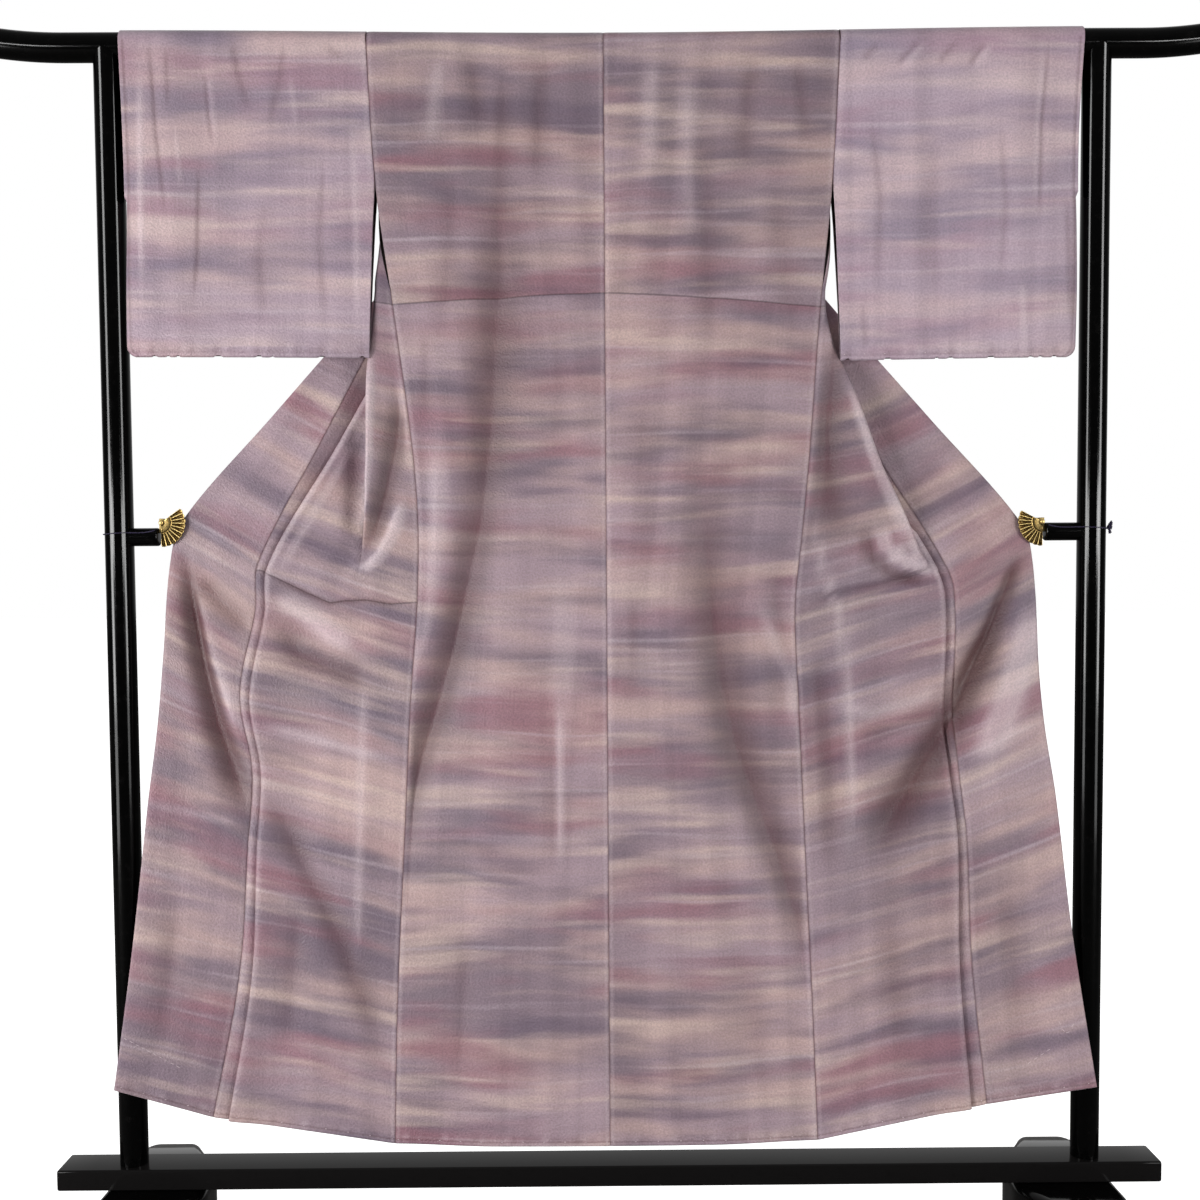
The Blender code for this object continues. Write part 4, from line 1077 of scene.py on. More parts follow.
def edge_point(table, side, reach):
    """(out, y, z) on the front's or the overlap panel's edge."""
    return np.array([read_table(table, key, reach) for key in (side, "depth", side + "_z")])


# %% [markdown]
# ## Folds
# Hung cloth falls into folds that differ in length, depth and spacing, so they are placed one
# by one. Each row is a fold's half width at its start and at its end, its depth, positive for a
# trough and negative for a ridge, and then the (x, z) points of its line down the cloth. The
# deep ones start at the clips and where the back takes up the pull; the shallow narrow ones are
# creases from being stored folded.

# %% Fold tables
BACK_FOLDS = [
    (0.034, 0.013, 0.012, (-0.127, 1.563), (-0.138, 1.427), (-0.153, 1.29), (-0.162, 1.138),
     (-0.177, 1.012), (-0.199, 0.914), (-0.219, 0.83), (-0.244, 0.745), (-0.266, 0.674),
     (-0.284, 0.603), (-0.293, 0.532), (-0.295, 0.477)),
    (0.016, 0.014, -0.0032, (-0.231, 1.152), (-0.239, 1.013), (-0.249, 0.901), (-0.267, 0.788)),
    (0.009, 0.009, 0.0015, (-0.248, 1.29), (-0.253, 1.138)),
    (0.005, 0.005, 0.0007, (-0.062, 1.317), (-0.067, 1.109)),
    (0.005, 0.005, 0.0007, (-0.088, 0.773), (-0.089, 0.502)),
    (0.012, 0.014, 0.0015, (-0.027, 1.454), (-0.031, 1.275)),
    (0.012, 0.014, 0.0016, (-0.2, 0.56), (-0.15, 0.52), (-0.06, 0.515)),
    (0.01, 0.012, 0.0012, (-0.21, 0.25), (-0.13, 0.235), (-0.04, 0.24)),
    (0.015, 0.015, 0.003, (0.133, 1.562), (0.141, 1.426), (0.146, 1.316), (0.155, 1.233)),
    (0.012, 0.012, -0.002, (0.114, 1.644), (0.119, 1.508), (0.129, 1.371)),
    (0.034, 0.016, 0.012, (0.132, 1.136), (0.139, 1.01), (0.148, 0.898), (0.162, 0.785),
     (0.185, 0.686), (0.211, 0.614), (0.244, 0.528), (0.27, 0.441), (0.284, 0.347)),
    (0.005, 0.005, 0.0014, (0.036, 0.913), (0.034, 0.828), (0.03, 0.736)),
    (0.005, 0.005, 0.001, (0.02, 0.899), (0.018, 0.772)),
    (0.014, 0.014, 0.0028, (0.237, 0.954), (0.247, 0.827), (0.251, 0.728)),
    (0.01, 0.012, 0.0012, (0.14, 1.63), (0.168, 1.576), (0.202, 1.521)),
    (0.009, 0.011, 0.0012, (0.075, 0.25), (0.105, 0.225), (0.16, 0.215)),
    (0.009, 0.011, 0.0024, (-0.184, 1.665), (-0.179, 1.618), (-0.171, 1.55)),
    (0.008, 0.01, -0.0018, (-0.225, 1.665), (-0.231, 1.605), (-0.238, 1.523)),
    (0.008, 0.01, 0.002, (-0.08, 1.665), (-0.088, 1.59), (-0.092, 1.481)),
    (0.009, 0.01, -0.0018, (0.071, 1.664), (0.064, 1.59), (0.066, 1.481)),
    (0.009, 0.011, 0.0024, (0.216, 1.667), (0.2, 1.603), (0.194, 1.494)),
    (0.008, 0.009, 0.002, (0.265, 1.667), (0.272, 1.602), (0.283, 1.521)),
    (0.014, 0.016, 0.0024, (-0.206, 1.496), (-0.215, 1.373), (-0.227, 1.263)),
    (0.014, 0.016, 0.0026, (0.237, 1.48), (0.251, 1.37), (0.261, 1.26)),
    (0.016, 0.018, 0.003, (0.048, 1.206), (0.053, 1.067), (0.061, 0.955)),
    (0.014, 0.016, -0.0022, (-0.065, 0.956), (-0.058, 0.815), (-0.074, 0.645)),
    (0.014, 0.016, 0.0024, (-0.198, 0.431), (-0.211, 0.3), (-0.222, 0.184)),
    (0.014, 0.016, 0.0024, (0.187, 0.428), (0.204, 0.297), (0.215, 0.18)),
    (0.01, 0.012, -0.003, (0.216, 0.898), (0.258, 0.784), (0.275, 0.699)),
    (0.004, 0.004, 0.001, (-0.077, 0.773), (-0.079, 0.645), (-0.078, 0.502)),
    (0.004, 0.004, -0.001, (-0.067, 0.758), (-0.07, 0.616), (-0.067, 0.516)),
    (0.008, 0.01, 0.0018, (-0.136, 1.645), (-0.144, 1.523), (-0.148, 1.372)),
]
NEAR_FOLDS = [
    (0.006, 0.006, -0.0015, (0.288, 1.08), (0.294, 1.01), (0.308, 0.932), (0.328, 0.883),
     (0.34, 0.783), (0.346, 0.64), (0.346, 0.466)),
    (0.012, 0.012, 0.0022, (0.305, 1.178), (0.321, 1.066), (0.342, 0.959)),
    (0.005, 0.005, -0.001, (-0.34, 1.146), (-0.404, 1.042), (-0.469, 0.93)),
    (0.003, 0.003, 0.0014, (-0.482, 0.94), (-0.434, 0.916), (-0.393, 0.897), (-0.371, 0.9),
     (-0.341, 0.901), (-0.307, 0.895), (-0.27, 0.898)),
    (0.015, 0.013, 0.0065, (-0.474, 0.867), (-0.436, 0.824), (-0.379, 0.799), (-0.323, 0.78)),
    (0.0045, 0.0045, 0.0007, (0.29, 0.896), (0.345, 0.912), (0.4, 0.918), (0.462, 0.934)),
    (0.014, 0.01, 0.0095, (-0.288, 1.2), (-0.291, 1.16), (-0.297, 1.115), (-0.311, 1.052),
     (-0.326, 1.0), (-0.342, 0.962)),
    (0.005, 0.007, -0.0045, (-0.354, 0.949), (-0.337, 0.949), (-0.319, 0.963), (-0.3, 0.997),
     (-0.284, 1.042)),
    (0.005, 0.005, -0.003, (-0.327, 1.266), (-0.33, 1.182), (-0.334, 1.098), (-0.342, 1.028),
     (-0.353, 0.972)),
    (0.013, 0.011, -0.005, (-0.476, 0.913), (-0.434, 0.888), (-0.393, 0.856), (-0.35, 0.83)),
    (0.012, 0.019, 0.0072, (0.322, 1.275), (0.318, 1.2), (0.313, 1.137), (0.309, 1.06),
     (0.312, 0.975)),
    (0.005, 0.006, -0.003, (0.334, 1.216), (0.352, 1.167), (0.38, 1.09), (0.409, 1.026),
     (0.431, 0.977), (0.454, 0.93)),
    (0.007, 0.006, -0.005, (0.382, 0.998), (0.396, 0.97), (0.42, 0.95), (0.467, 0.936)),
    (0.009, 0.007, 0.0045, (0.356, 1.01), (0.373, 0.96), (0.402, 0.933), (0.462, 0.919)),
    (0.011, 0.01, 0.0035, (-0.354, 1.154), (-0.358, 1.07), (-0.367, 0.979)),
]
LOWER_FOLDS = [
    (0.006, 0.006, -0.0016, (-0.505, 0.729), (-0.438, 0.71), (-0.353, 0.685), (-0.29, 0.67)),
    (0.016, 0.016, 0.006, (-0.493, 0.646), (-0.461, 0.574), (-0.427, 0.501), (-0.392, 0.428),
     (-0.358, 0.341), (-0.319, 0.238)),
    (0.005, 0.005, -0.0009, (-0.342, 0.844), (-0.35, 0.673), (-0.363, 0.326)),
    (0.01, 0.019, 0.014, (-0.597, 0.966), (-0.59, 0.898), (-0.576, 0.805), (-0.557, 0.722),
     (-0.534, 0.655), (-0.511, 0.585)),
    (0.008, 0.009, -0.004, (-0.589, 0.945), (-0.561, 0.82), (-0.521, 0.696)),
    (0.012, 0.016, 0.006, (-0.579, 0.94), (-0.546, 0.895), (-0.503, 0.856)),
    (0.005, 0.005, -0.0009, (-0.664, 0.618), (-0.596, 0.6), (-0.511, 0.58)),
    (0.006, 0.006, 0.0018, (-0.591, 0.98), (-0.553, 0.959), (-0.497, 0.942)),
    (0.008, 0.014, 0.008, (0.592, 0.975), (0.563, 0.89), (0.541, 0.83), (0.517, 0.78)),
    (0.013, 0.03, 0.015, (0.56, 0.88), (0.541, 0.83), (0.517, 0.78), (0.499, 0.737),
     (0.473, 0.694), (0.421, 0.604), (0.368, 0.515)),
    (0.016, 0.018, -0.007, (0.612, 0.895), (0.592, 0.81), (0.562, 0.724), (0.527, 0.653)),
    (0.005, 0.005, -0.0008, (0.539, 0.693), (0.574, 0.705), (0.617, 0.721)),
    (0.008, 0.008, -0.0016, (0.317, 0.754), (0.374, 0.733), (0.445, 0.754), (0.481, 0.782)),
    (0.008, 0.008, 0.0016, (0.346, 0.7), (0.417, 0.715), (0.481, 0.75)),
    (0.011, 0.013, 0.004, (0.291, 0.84), (0.303, 0.755), (0.312, 0.64), (0.312, 0.496)),
    (0.016, 0.018, 0.0032, (-0.442, 0.472), (-0.455, 0.356), (-0.466, 0.24)),
    (0.016, 0.018, 0.0032, (0.389, 0.466), (0.407, 0.349), (0.419, 0.232)),
    (0.016, 0.018, 0.003, (0.562, 0.494), (0.577, 0.377), (0.59, 0.26)),
    (0.016, 0.018, 0.003, (-0.613, 0.474), (-0.627, 0.358), (-0.639, 0.241)),
]
SLEEVE_FOLDS = [
    (0.0026, 0.003, 0.001, (-0.626, 1.678), (-0.621, 1.601), (-0.619, 1.554), (-0.607, 1.43)),
    (0.0026, 0.0034, 0.0011, (-0.56, 1.507), (-0.563, 1.43), (-0.565, 1.374), (-0.572, 1.31)),
    (0.0026, 0.0028, 0.0008, (-0.55, 1.635), (-0.546, 1.578), (-0.54, 1.526)),
    (0.003, 0.0034, -0.0004, (-0.544, 1.628), (-0.54, 1.578), (-0.534, 1.53)),
    (0.0026, 0.0034, -0.0005, (-0.592, 1.558), (-0.588, 1.516), (-0.586, 1.469)),
    (0.003, 0.003, 0.0007, (-0.602, 1.667), (-0.601, 1.579)),
    (0.0026, 0.0032, -0.0004, (-0.432, 1.625), (-0.428, 1.59), (-0.425, 1.554)),
    (0.004, 0.005, 0.001, (-0.393, 1.682), (-0.377, 1.662), (-0.356, 1.646)),
    (0.004, 0.004, -0.0007, (-0.348, 1.578), (-0.344, 1.428), (-0.344, 1.263)),
    (0.014, 0.018, 0.0014, (-0.48, 1.4), (-0.47, 1.3)),
    (0.004, 0.006, 0.0012, (-0.511, 1.679), (-0.504, 1.633), (-0.488, 1.576)),
    (0.004, 0.006, 0.001, (-0.438, 1.678), (-0.446, 1.619), (-0.461, 1.554)),
    (0.009, 0.01, 0.0013, (-0.465, 1.47), (-0.476, 1.374), (-0.472, 1.278)),
    (0.004, 0.005, 0.0008, (-0.386, 1.524), (-0.395, 1.401), (-0.388, 1.277)),
    (0.004, 0.004, -0.001, (-0.638, 1.647), (-0.641, 1.484), (-0.642, 1.32)),
    (0.0026, 0.003, 0.0009, (0.615, 1.678), (0.611, 1.611), (0.606, 1.554), (0.604, 1.412)),
    (0.003, 0.0034, -0.0005, (0.609, 1.672), (0.605, 1.611), (0.6, 1.554), (0.598, 1.42)),
    (0.004, 0.005, 0.001, (0.382, 1.668), (0.37, 1.656), (0.357, 1.64)),
    (0.004, 0.005, 0.0012, (0.439, 1.672), (0.425, 1.656), (0.405, 1.634)),
    (0.004, 0.005, -0.0009, (0.445, 1.668), (0.431, 1.652), (0.411, 1.628)),
    (0.004, 0.005, 0.0011, (0.492, 1.672), (0.478, 1.657), (0.46, 1.634)),
    (0.004, 0.005, 0.0012, (0.53, 1.668), (0.52, 1.655), (0.504, 1.632)),
    (0.004, 0.005, -0.0009, (0.536, 1.664), (0.526, 1.651), (0.511, 1.628)),
    (0.004, 0.004, -0.0009, (0.581, 1.341), (0.585, 1.244)),
    (0.004, 0.004, 0.0011, (0.642, 1.464), (0.647, 1.368), (0.651, 1.265)),
    (0.004, 0.004, 0.0007, (0.358, 1.315), (0.364, 1.243)),
    (0.016, 0.018, 0.0014, (0.43, 1.47), (0.445, 1.34)),
    (0.004, 0.006, 0.0009, (0.369, 1.575), (0.383, 1.452), (0.378, 1.315)),
    (0.004, 0.005, 0.0009, (0.549, 1.56), (0.558, 1.451), (0.551, 1.327)),
    (0.009, 0.01, 0.0013, (0.459, 1.547), (0.453, 1.438), (0.465, 1.287)),
]


def fold_shape(folds, x, z, darkest=0.72):
    """Depth and shade of all these folds at points x, z.

    Each fold fades in and out along its line. Shade is above 0 in a trough and below 0 on a
    ridge, grows with how steep the fold is, and levels off at the darkest.
    """
    depth, shade = np.zeros_like(x), np.zeros_like(x)
    for first, last, deep, *line in folds:
        line = np.asarray(line)
        along = run_length(line)
        best, at = np.full_like(x, 9.0), np.zeros_like(x)
        for a, b, start in zip(line, line[1:], along):
            run = b - a
            t = ((x - a[0]) * run[0] + (z - a[1]) * run[1]) / run.dot(run)
            held = np.clip(t, 0, 1)
            miss = np.hypot(x - a[0] - held * run[0], z - a[1] - held * run[1])
            closer = miss < best
            best = np.where(closer, miss, best)
            at = np.where(closer, start + held * np.linalg.norm(run), at)
        t = at / along[-1]
        width = mix(first, last, t)
        fades = np.clip(np.minimum(t, 1 - t) / 0.25, 0, 1)
        depth += deep * mix(0.3, 1.0, ease(fades)) * np.exp(-(best / width) ** 1.6)
        steep = deep / width * mix(0.1, 1.0, ease(fades))
        shade += (1.05 + 60 * abs(deep)) * steep * bell(best, 1.2 * width)
    levelled = darkest * np.tanh(shade / darkest)
    return np.array((depth, np.where(shade > 0, levelled, np.maximum(shade, -0.40))))


print("folds:", len(BACK_FOLDS) + len(NEAR_FOLDS) + len(LOWER_FOLDS) + len(SLEEVE_FOLDS))

# %% [markdown]
# ## Cloth from grids
# Every panel is a thin shell: a grid of points, a few millimetres apart and closer where the
# cloth bends, thickened by Solidify, which also gives the inner side its lining. Three values
# ride on the grid for the dyes to read: the map in metres, `fold`, which darkens stitched lines
# and holds painted shade for the bottoms of folds and painted light for their ridges, and
# `tuck`, the signed distance to the tuck sewn across the body.

# %% Cloth builder
# SHADE_LIMITS bound `fold`: the palest painted ridge light, and the darkest seam line and painted
# shade.
SHADE_LIMITS = (-0.5, 0.85)                  # of `fold`: palest ridge and darkest line
CUT_FROM = {                                 # where on the dyed cloth a piece is cut, (u, v)
    "body_left": (1.30, 0.40), "body_right": (4.10, 2.25),
    "sleeve_left": (7.3, 5.15), "sleeve_right": (9.6, 7.9),
    "okumi_left": (12.4, 9.7), "okumi_right": (14.9, 12.1), "collar": (17.0, 14.0),
}
Row = namedtuple("Row", "points u fold tuck")


def stacked(rows):
    """Rows of cloth joined into one grid of each value."""
    return Row(*(np.stack(values) for values in zip(*rows)))


def points_at(out, y, z):
    """Points from their coordinates, any of which may be one number for all."""
    return np.stack(np.broadcast_arrays(out, y, z), axis=1)


class Sheet:
    """Grid patches gathered into one piece of cloth."""

    def __init__(self):
        """Start with no points and no patches."""
        self.points, self.fold, self.tuck = [], [], []
        self.quads, self.corners = [], []

    def add_points(self, points, fold, tuck):
        """Add a grid of points with its two values; returns the grid's vertex numbers."""
        shape, start = points.shape[:2], len(self.points)
        self.points += points.reshape(-1, 3).tolist()
        self.fold += np.clip(np.broadcast_to(fold, shape), *SHADE_LIMITS).ravel().tolist()
        self.tuck += np.broadcast_to(tuck, shape).ravel().tolist()
        return start + np.arange(shape[0] * shape[1]).reshape(shape)

    def add_patch(self, ids, u, v):
        """Quads over a grid of vertex numbers, mapped at u, v metres."""
        place = np.stack(np.broadcast_arrays(u, v), axis=-1)
        for grid, kept in ((ids, self.quads), (place, self.corners)):
            around = (grid[:-1, :-1], grid[:-1, 1:], grid[1:, 1:], grid[1:, :-1])
            joined = np.stack(around, axis=2)
            kept.append(joined.reshape((-1, 4) + joined.shape[3:]))

    def build(self, name, turned, sign, materials, thickness, offset=0.0):
        """The finished object, mirrored for the left side, hanging with the sagging rail.

        turned says that the grid was listed with its silk side away, so faces are reversed.
        """
        points = np.array(self.points)
        points[:, 2] -= rail_sag(points[:, 0])
        points[:, 0] *= sign
        quads, corners = np.concatenate(self.quads), np.concatenate(self.corners)
        if (sign < 0) != turned:
            quads, corners = quads[:, ::-1], corners[:, ::-1]
        mesh = new_mesh(name, points.tolist(), quads.tolist())
        layer = mesh.uv_layers.new(name="cloth")
        layer.data.foreach_set("uv", np.ascontiguousarray(corners, np.float32).ravel())
        set_values(mesh, "fold", self.fold)
        set_values(mesh, "tuck", self.tuck)
        mesh.shade_smooth()
        for material in materials:
            mesh.materials.append(material)
        made = add_object(name, mesh)
        wall = made.modifiers.new("wall", "SOLIDIFY")
        wall.thickness, wall.offset = thickness, offset
        wall.use_even_offset = False
        wall.material_offset = len(materials) - 1
        area = sum(p.area for p in mesh.polygons)
        print(name, len(quads), "quads,", round(area, 3), "m2 of cloth")
        return made


def groove(distance, depth=0.0009):
    """How far cloth dips where it is turned under at a seam."""
    return depth * bell(distance, 0.0018)


def seam_line(distance):
    """Dark line of a seam, and the light on the cloth that rolls into it."""
    return 0.85 * bell(distance, 0.0008) - 0.13 * bell(distance - 0.0042, 0.0026)


# %% [markdown]
# ## Back and front panels
# Back and front of one side are a single length of cloth over the shoulder, joined to itself
# down the side seam. The back hangs plumb. The front is folded in three between the side seam
# and the clip's pull: a near layer that turns back at a soft nose, a hidden middle layer, and a
# far layer that runs out to the overlap panel. Beside the overlap seam a sharp fold from
# storage laps over a narrow strip.

# %% Rows and columns
SEAM_LEAN, SMALL_BEND, LARGE_BEND = 0.15, 0.003, 0.008
LEAST_MIDDLE, LEAST_FAR, LAYER_STEP, STORED_END = 0.024, 0.036, 0.005, 0.016
FOLD_CLOSES, UNROLLS, SLEEVE_FORWARD = (0.70, 0.84), 0.10, -0.0160
SLIT_GAPE, NOSE_SWELL = 0.005, 0.009         # open armhole slit, and the near layer's soft nose
SLEEVE_BOTTOM = {"left": 1.243, "right": 1.236}
TUCK_REACH = 0.3734                          # of the tuck, at the middle of the back
TUCK = {"left": 0.0154, "right": 0.0214}     # its slant down to the sides
WAIST_TUCK = [                               # (out, height) along the left front's waist tuck
    (0.260, 0.898), (0.307, 0.895), (0.341, 0.901), (0.371, 0.900), (0.393, 0.897),
    (0.434, 0.916), (0.490, 0.944),
]
ROWS = [(QUARTER, 0.360, 0.0065), (0.360, 0.404, 0.0028), (0.404, 0.700, 0.0060),
        (0.700, 0.850, 0.0032), (0.850, 1.568, 0.0066)]
HEM_ROWS = [1.5725, 1.5760, 1.5785, 1.5800, 1.5815, 1.5828, LENGTH]


def cloth_rows():
    """Cloth distances from the shoulder at which the body has rows."""
    levels = [QUARTER]
    for start, end, spacing in ROWS:
        count = round((end - start) / spacing)
        levels += list(np.linspace(start, end, count + 1)[1:])
    return np.array(levels + HEM_ROWS)


def far_sleeve_depth(z):
    """y of the sleeve's far layer, which leans forward to the bottom fold."""
    t = np.clip((RAIL_Z - z) / (RAIL_Z - SLEEVE_BOTTOM["left"]), 0, 1)
    return mix(WRAP_R, SLEEVE_FORWARD, t)


def tuck_distance(side, out, reach):
    """Signed distance to the sewn tuck, positive below it."""
    return reach - TUCK_REACH - TUCK[side] * np.clip(out / 0.30, 0, 1.3) ** 1.4


def front_tuck(side, out, world_z, reach):
    """As tuck_distance, for a front; the left one has a second tuck at the waist.

    There it is positive between the two tucks, and close to each its size is the distance.
    """
    above = tuck_distance(side, 0.30, reach) + 0 * out
    if side == "right":
        return above
    return 2.35 * above * (world_z - np.interp(out, *zip(*WAIST_TUCK)))


def lapped(distance):
    """How far cloth stands forward just above the tuck, where it laps over its own fold."""
    return 0.0011 * np.where(distance < 0, bell(distance, 0.008), 1 - ease(distance / 0.0022))


def pucker(along):
    """Uneven gathers that hand stitches leave beside an edge, between -1 and 1."""
    return (np.sin(along / 0.0046) + np.sin(along / 0.0029 + 1.3) + np.sin(along / 0.0111)) / 3


def hem_roll(reach, along):
    """The padded roll along the hem: forward swelling, pinched unevenly by its stitches."""
    from_hem = LENGTH - reach
    pinched = 0.0007 * pucker(along) * bell(from_hem - 0.008, 0.006)
    return 0.0008 * bell(from_hem - 0.0022, 0.0020) + pinched


def hem_line(reach, along):
    """Dark stitched line above the hem's roll, and painted shade and light of the gathers beside
    it.
    """
    from_hem = LENGTH - reach
    gathers = 0.16 * pucker(along) * bell(from_hem - 0.008, 0.007)
    return 0.40 * bell(from_hem - 0.0058, 0.0012) - gathers


def front_samples(keys, fold_width):
    """Cloth distances across the front, close together at seams, bends and the stored fold."""
    first, nose_in, nose_out, inner, outer, total = (
        keys[0], keys[1], keys[3], keys[5], keys[7], keys[10])
    lap = total - fold_width
    starts = [min(0.0009, 0.15 * nose_in), min(0.0022, 0.3 * nose_in),
              min(0.0045, 0.45 * nose_in)]
    parts = [
        [first], starts, np.linspace(min(0.008, 0.6 * nose_in), nose_in, 14),
        np.linspace(nose_in, nose_out, 7)[1:], np.linspace(nose_out, inner, 8)[1:],
        np.linspace(inner, outer, 7)[1:], np.linspace(outer, lap - 0.010, 17)[1:],
        np.linspace(lap - 0.010, lap + 0.006, 10)[1:],
        np.linspace(lap + 0.006, total - 0.0028, 5)[1:], [total - 0.0009, total],
    ]
    return np.concatenate(parts)


# %% Front row
def front_folds(sign, reach, out, world_z):
    """Depth and shade of a front's folds: those below the clip, and those level with it."""
    lower = fold_shape(LOWER_FOLDS, sign * out, world_z, darkest=0.90)
    nearer = fold_shape(NEAR_FOLDS, sign * out, world_z)
    return lower * ease((reach - CLIP + 0.005) / 0.035), nearer * ease((reach - 0.40) / 0.08)


def layer_keys(layers, turn, tip, direct, y_seam, y_edge):
    """Places along a front folded in three: cloth distance, run outwards and y of each.

    layers are the lengths of the near, middle and far layers; turn is the way that the near one
    heads, tip where the middle one ends, and direct where the far one does.
    """
    near, middle, far = layers
    y_middle = y_seam + min(LAYER_STEP, 0.4 * max(y_edge - y_seam, 0.0))
    y_far = mix(y_middle, y_edge, np.clip((direct - tip) / LEAST_FAR, 0.0, 1.0))
    middle_end, far_start = min(LARGE_BEND / middle, 0.3), min(LARGE_BEND / far, 0.3)
    far_end = 1 - STORED_END / far
    nose, back_at = turn * near, near + middle
    total = back_at + far
    keys = [
        (0.0, 0.0, y_seam),
        (near - SMALL_BEND, turn * (near - SMALL_BEND), y_seam),
        (near, nose, (y_seam + y_middle) / 2),
        (near + SMALL_BEND, mix(nose, tip, SMALL_BEND / middle), y_middle),
        (near + middle / 2, mix(nose, tip, 0.5), y_middle),
        (back_at - middle * middle_end, mix(nose, tip, 1 - middle_end), y_middle),
        (back_at, tip, (y_middle + y_far) / 2),
    ]
    for t in (far_start, (far_start + far_end) / 2):
        keys.append((mix(back_at, total, t), mix(tip, direct, t), mix(y_far, y_edge, t)))
    keys.append((total - STORED_END, mix(tip, direct, far_end), mix(y_far, y_edge, far_end)))
    return np.array(keys + [(total, direct, y_edge)])


def front_row(side, reach):
    """One row across the front, from the side seam to the overlap seam."""
    sign = dict(SIDES)[side]
    z_seam = hang_height(reach)
    free = ease((reach - ATTACH) / (UNDERARM - ATTACH))
    slit = math.sin(math.pi * min(max((reach - ATTACH) / (UNDERARM - ATTACH), 0), 1))
    out_seam = seam_out(side, z_seam) + SLIT_GAPE * slit
    y_seam = mix(far_sleeve_depth(z_seam), read_table(SEAM, "depth", z_seam), free)
    out_edge, y_edge, z_edge = edge_point(FRONT_EDGE, side, reach)
    direct = out_edge - out_seam
    closing = (reach - FOLD_CLOSES[0]) / (FOLD_CLOSES[1] - FOLD_CLOSES[0])
    slack = max(FRONT_WIDTH - direct, 0.0) * (1 - ease(closing))
    turn = mix(-1.0, 1.0, free)
    near = read_table(NEAR_LAYER, side, reach)
    middle = max((slack - near * (1 - turn)) / 2, LEAST_MIDDLE)
    far = direct + slack - near - middle
    tip = direct - max(far, LEAST_FAR)
    flat = 1 - ease((reach - QUARTER) / UNROLLS)
    if flat > 0:
        tip = direct + LEAST_FAR * (2 * flat - 1)
    far = max(far, LEAST_FAR)
    heading = (tip - turn * near) / middle
    folded = np.clip((1 - heading) / 2, 0.0, 1.0)
    keys = layer_keys((near, middle, far), turn, tip, direct, y_seam, y_edge)
    total = keys[-1, 0]
    fold_width = min(read_table(STORED, "width", reach), 0.45 * far)
    s = front_samples(keys[:, 0], fold_width)
    progress = curve_through(keys[:, 0], keys[:, 1], s)
    layer = curve_through(keys[:, 0], keys[:, 2], s)
    swell = ease((reach - 0.44) / 0.10) * (1 - ease((reach - 0.69) / 0.10))
    proud = np.where(s < near, s / near, np.clip(2 - s / near, 0, 1)) ** 2
    layer = layer - NOSE_SWELL * swell * proud
    return shaped_front(side, sign, reach, s, (out_seam, progress), layer,
                        (y_seam, y_edge, folded), (z_seam, z_edge),
                        (total, fold_width, ease((far - fold_width - 0.004) / 0.02)))


# The stored fold: how far it laps forward, and over what width that dies away; how far its edge
# leans out, the dip and the shadow under the edge; and, above and below the clip, the shade of
# the strip and the light along the edge.
STORED_LAP, LAP_TAPER, EDGE_LEAN, EDGE_DIP, EDGE_SHADOW = 0.0062, 0.030, 0.0016, 0.0012, 0.60
STRIP_SHADE, EDGE_LIGHT = (0.44, 0.22), (0.30, 0.08)


def shaped_front(side, sign, reach, s, outs, layer, depths, heights, cut):
    """Add folds, seams, tuck and hem to a front row's plain line."""
    (out_seam, progress), (y_seam, y_edge, folded) = outs, depths
    (total, fold_width, room), across = cut, s / cut[0]
    stored = ease((reach - 0.42) / 0.10) * room
    crisp = mix(*EDGE_LIGHT, ease((reach - 0.78) / 0.12))
    inside = (total - s) - fold_width            # distance on the inner side of the stored fold
    lap = np.where(inside > 0, bell(inside, LAP_TAPER), 1 - ease(-inside / 0.0026))
    out = out_seam + progress + EDGE_LEAN * stored * bell(inside + 0.0004, 0.0016)
    z = mix(heights[0], heights[1], across)
    y = mix(mix(y_seam, y_edge, across), layer, folded)
    world_z = z - rail_sag(out)
    lower, nearer = front_folds(sign, reach, out, world_z)
    deep, dark = (lower + nearer) * ease(s / 0.014)
    tuck = front_tuck(side, out, world_z, reach)
    y = y + deep - stored * STORED_LAP * lap - lapped(tuck) * ease((reach - 0.30) / 0.05)
    y = y + EDGE_DIP * stored * bell(inside + 0.0042, 0.0018)
    sewn = reach > UNDERARM
    y = y + groove(total - s) + (groove(s) if sewn else 0) - hem_roll(reach, out)
    shade = dark + seam_line(total - s) + (seam_line(s) if sewn else 0)
    strip = ease((-inside - 0.001) / 0.004) * (1 - ease((reach - 0.80) / 0.10))
    shade = shade + mix(*STRIP_SHADE, ease((reach - 0.50) / 0.35)) * stored * strip
    shade = shade + EDGE_SHADOW * stored * bell(inside + 0.0036, 0.0012) + hem_line(reach, out)
    shade = shade - crisp * stored * bell(inside - 0.0020, 0.0030)
    return Row(points_at(out, y, z), s, shade, tuck)


# %% Back row
NECK_COLUMNS = (0.0, 0.10, 0.22, 0.34, 0.46, 0.58, 0.70, 0.82, 0.91)
SEAM_OFFSETS = (0.0045, 0.0022, 0.0009, 0.0)


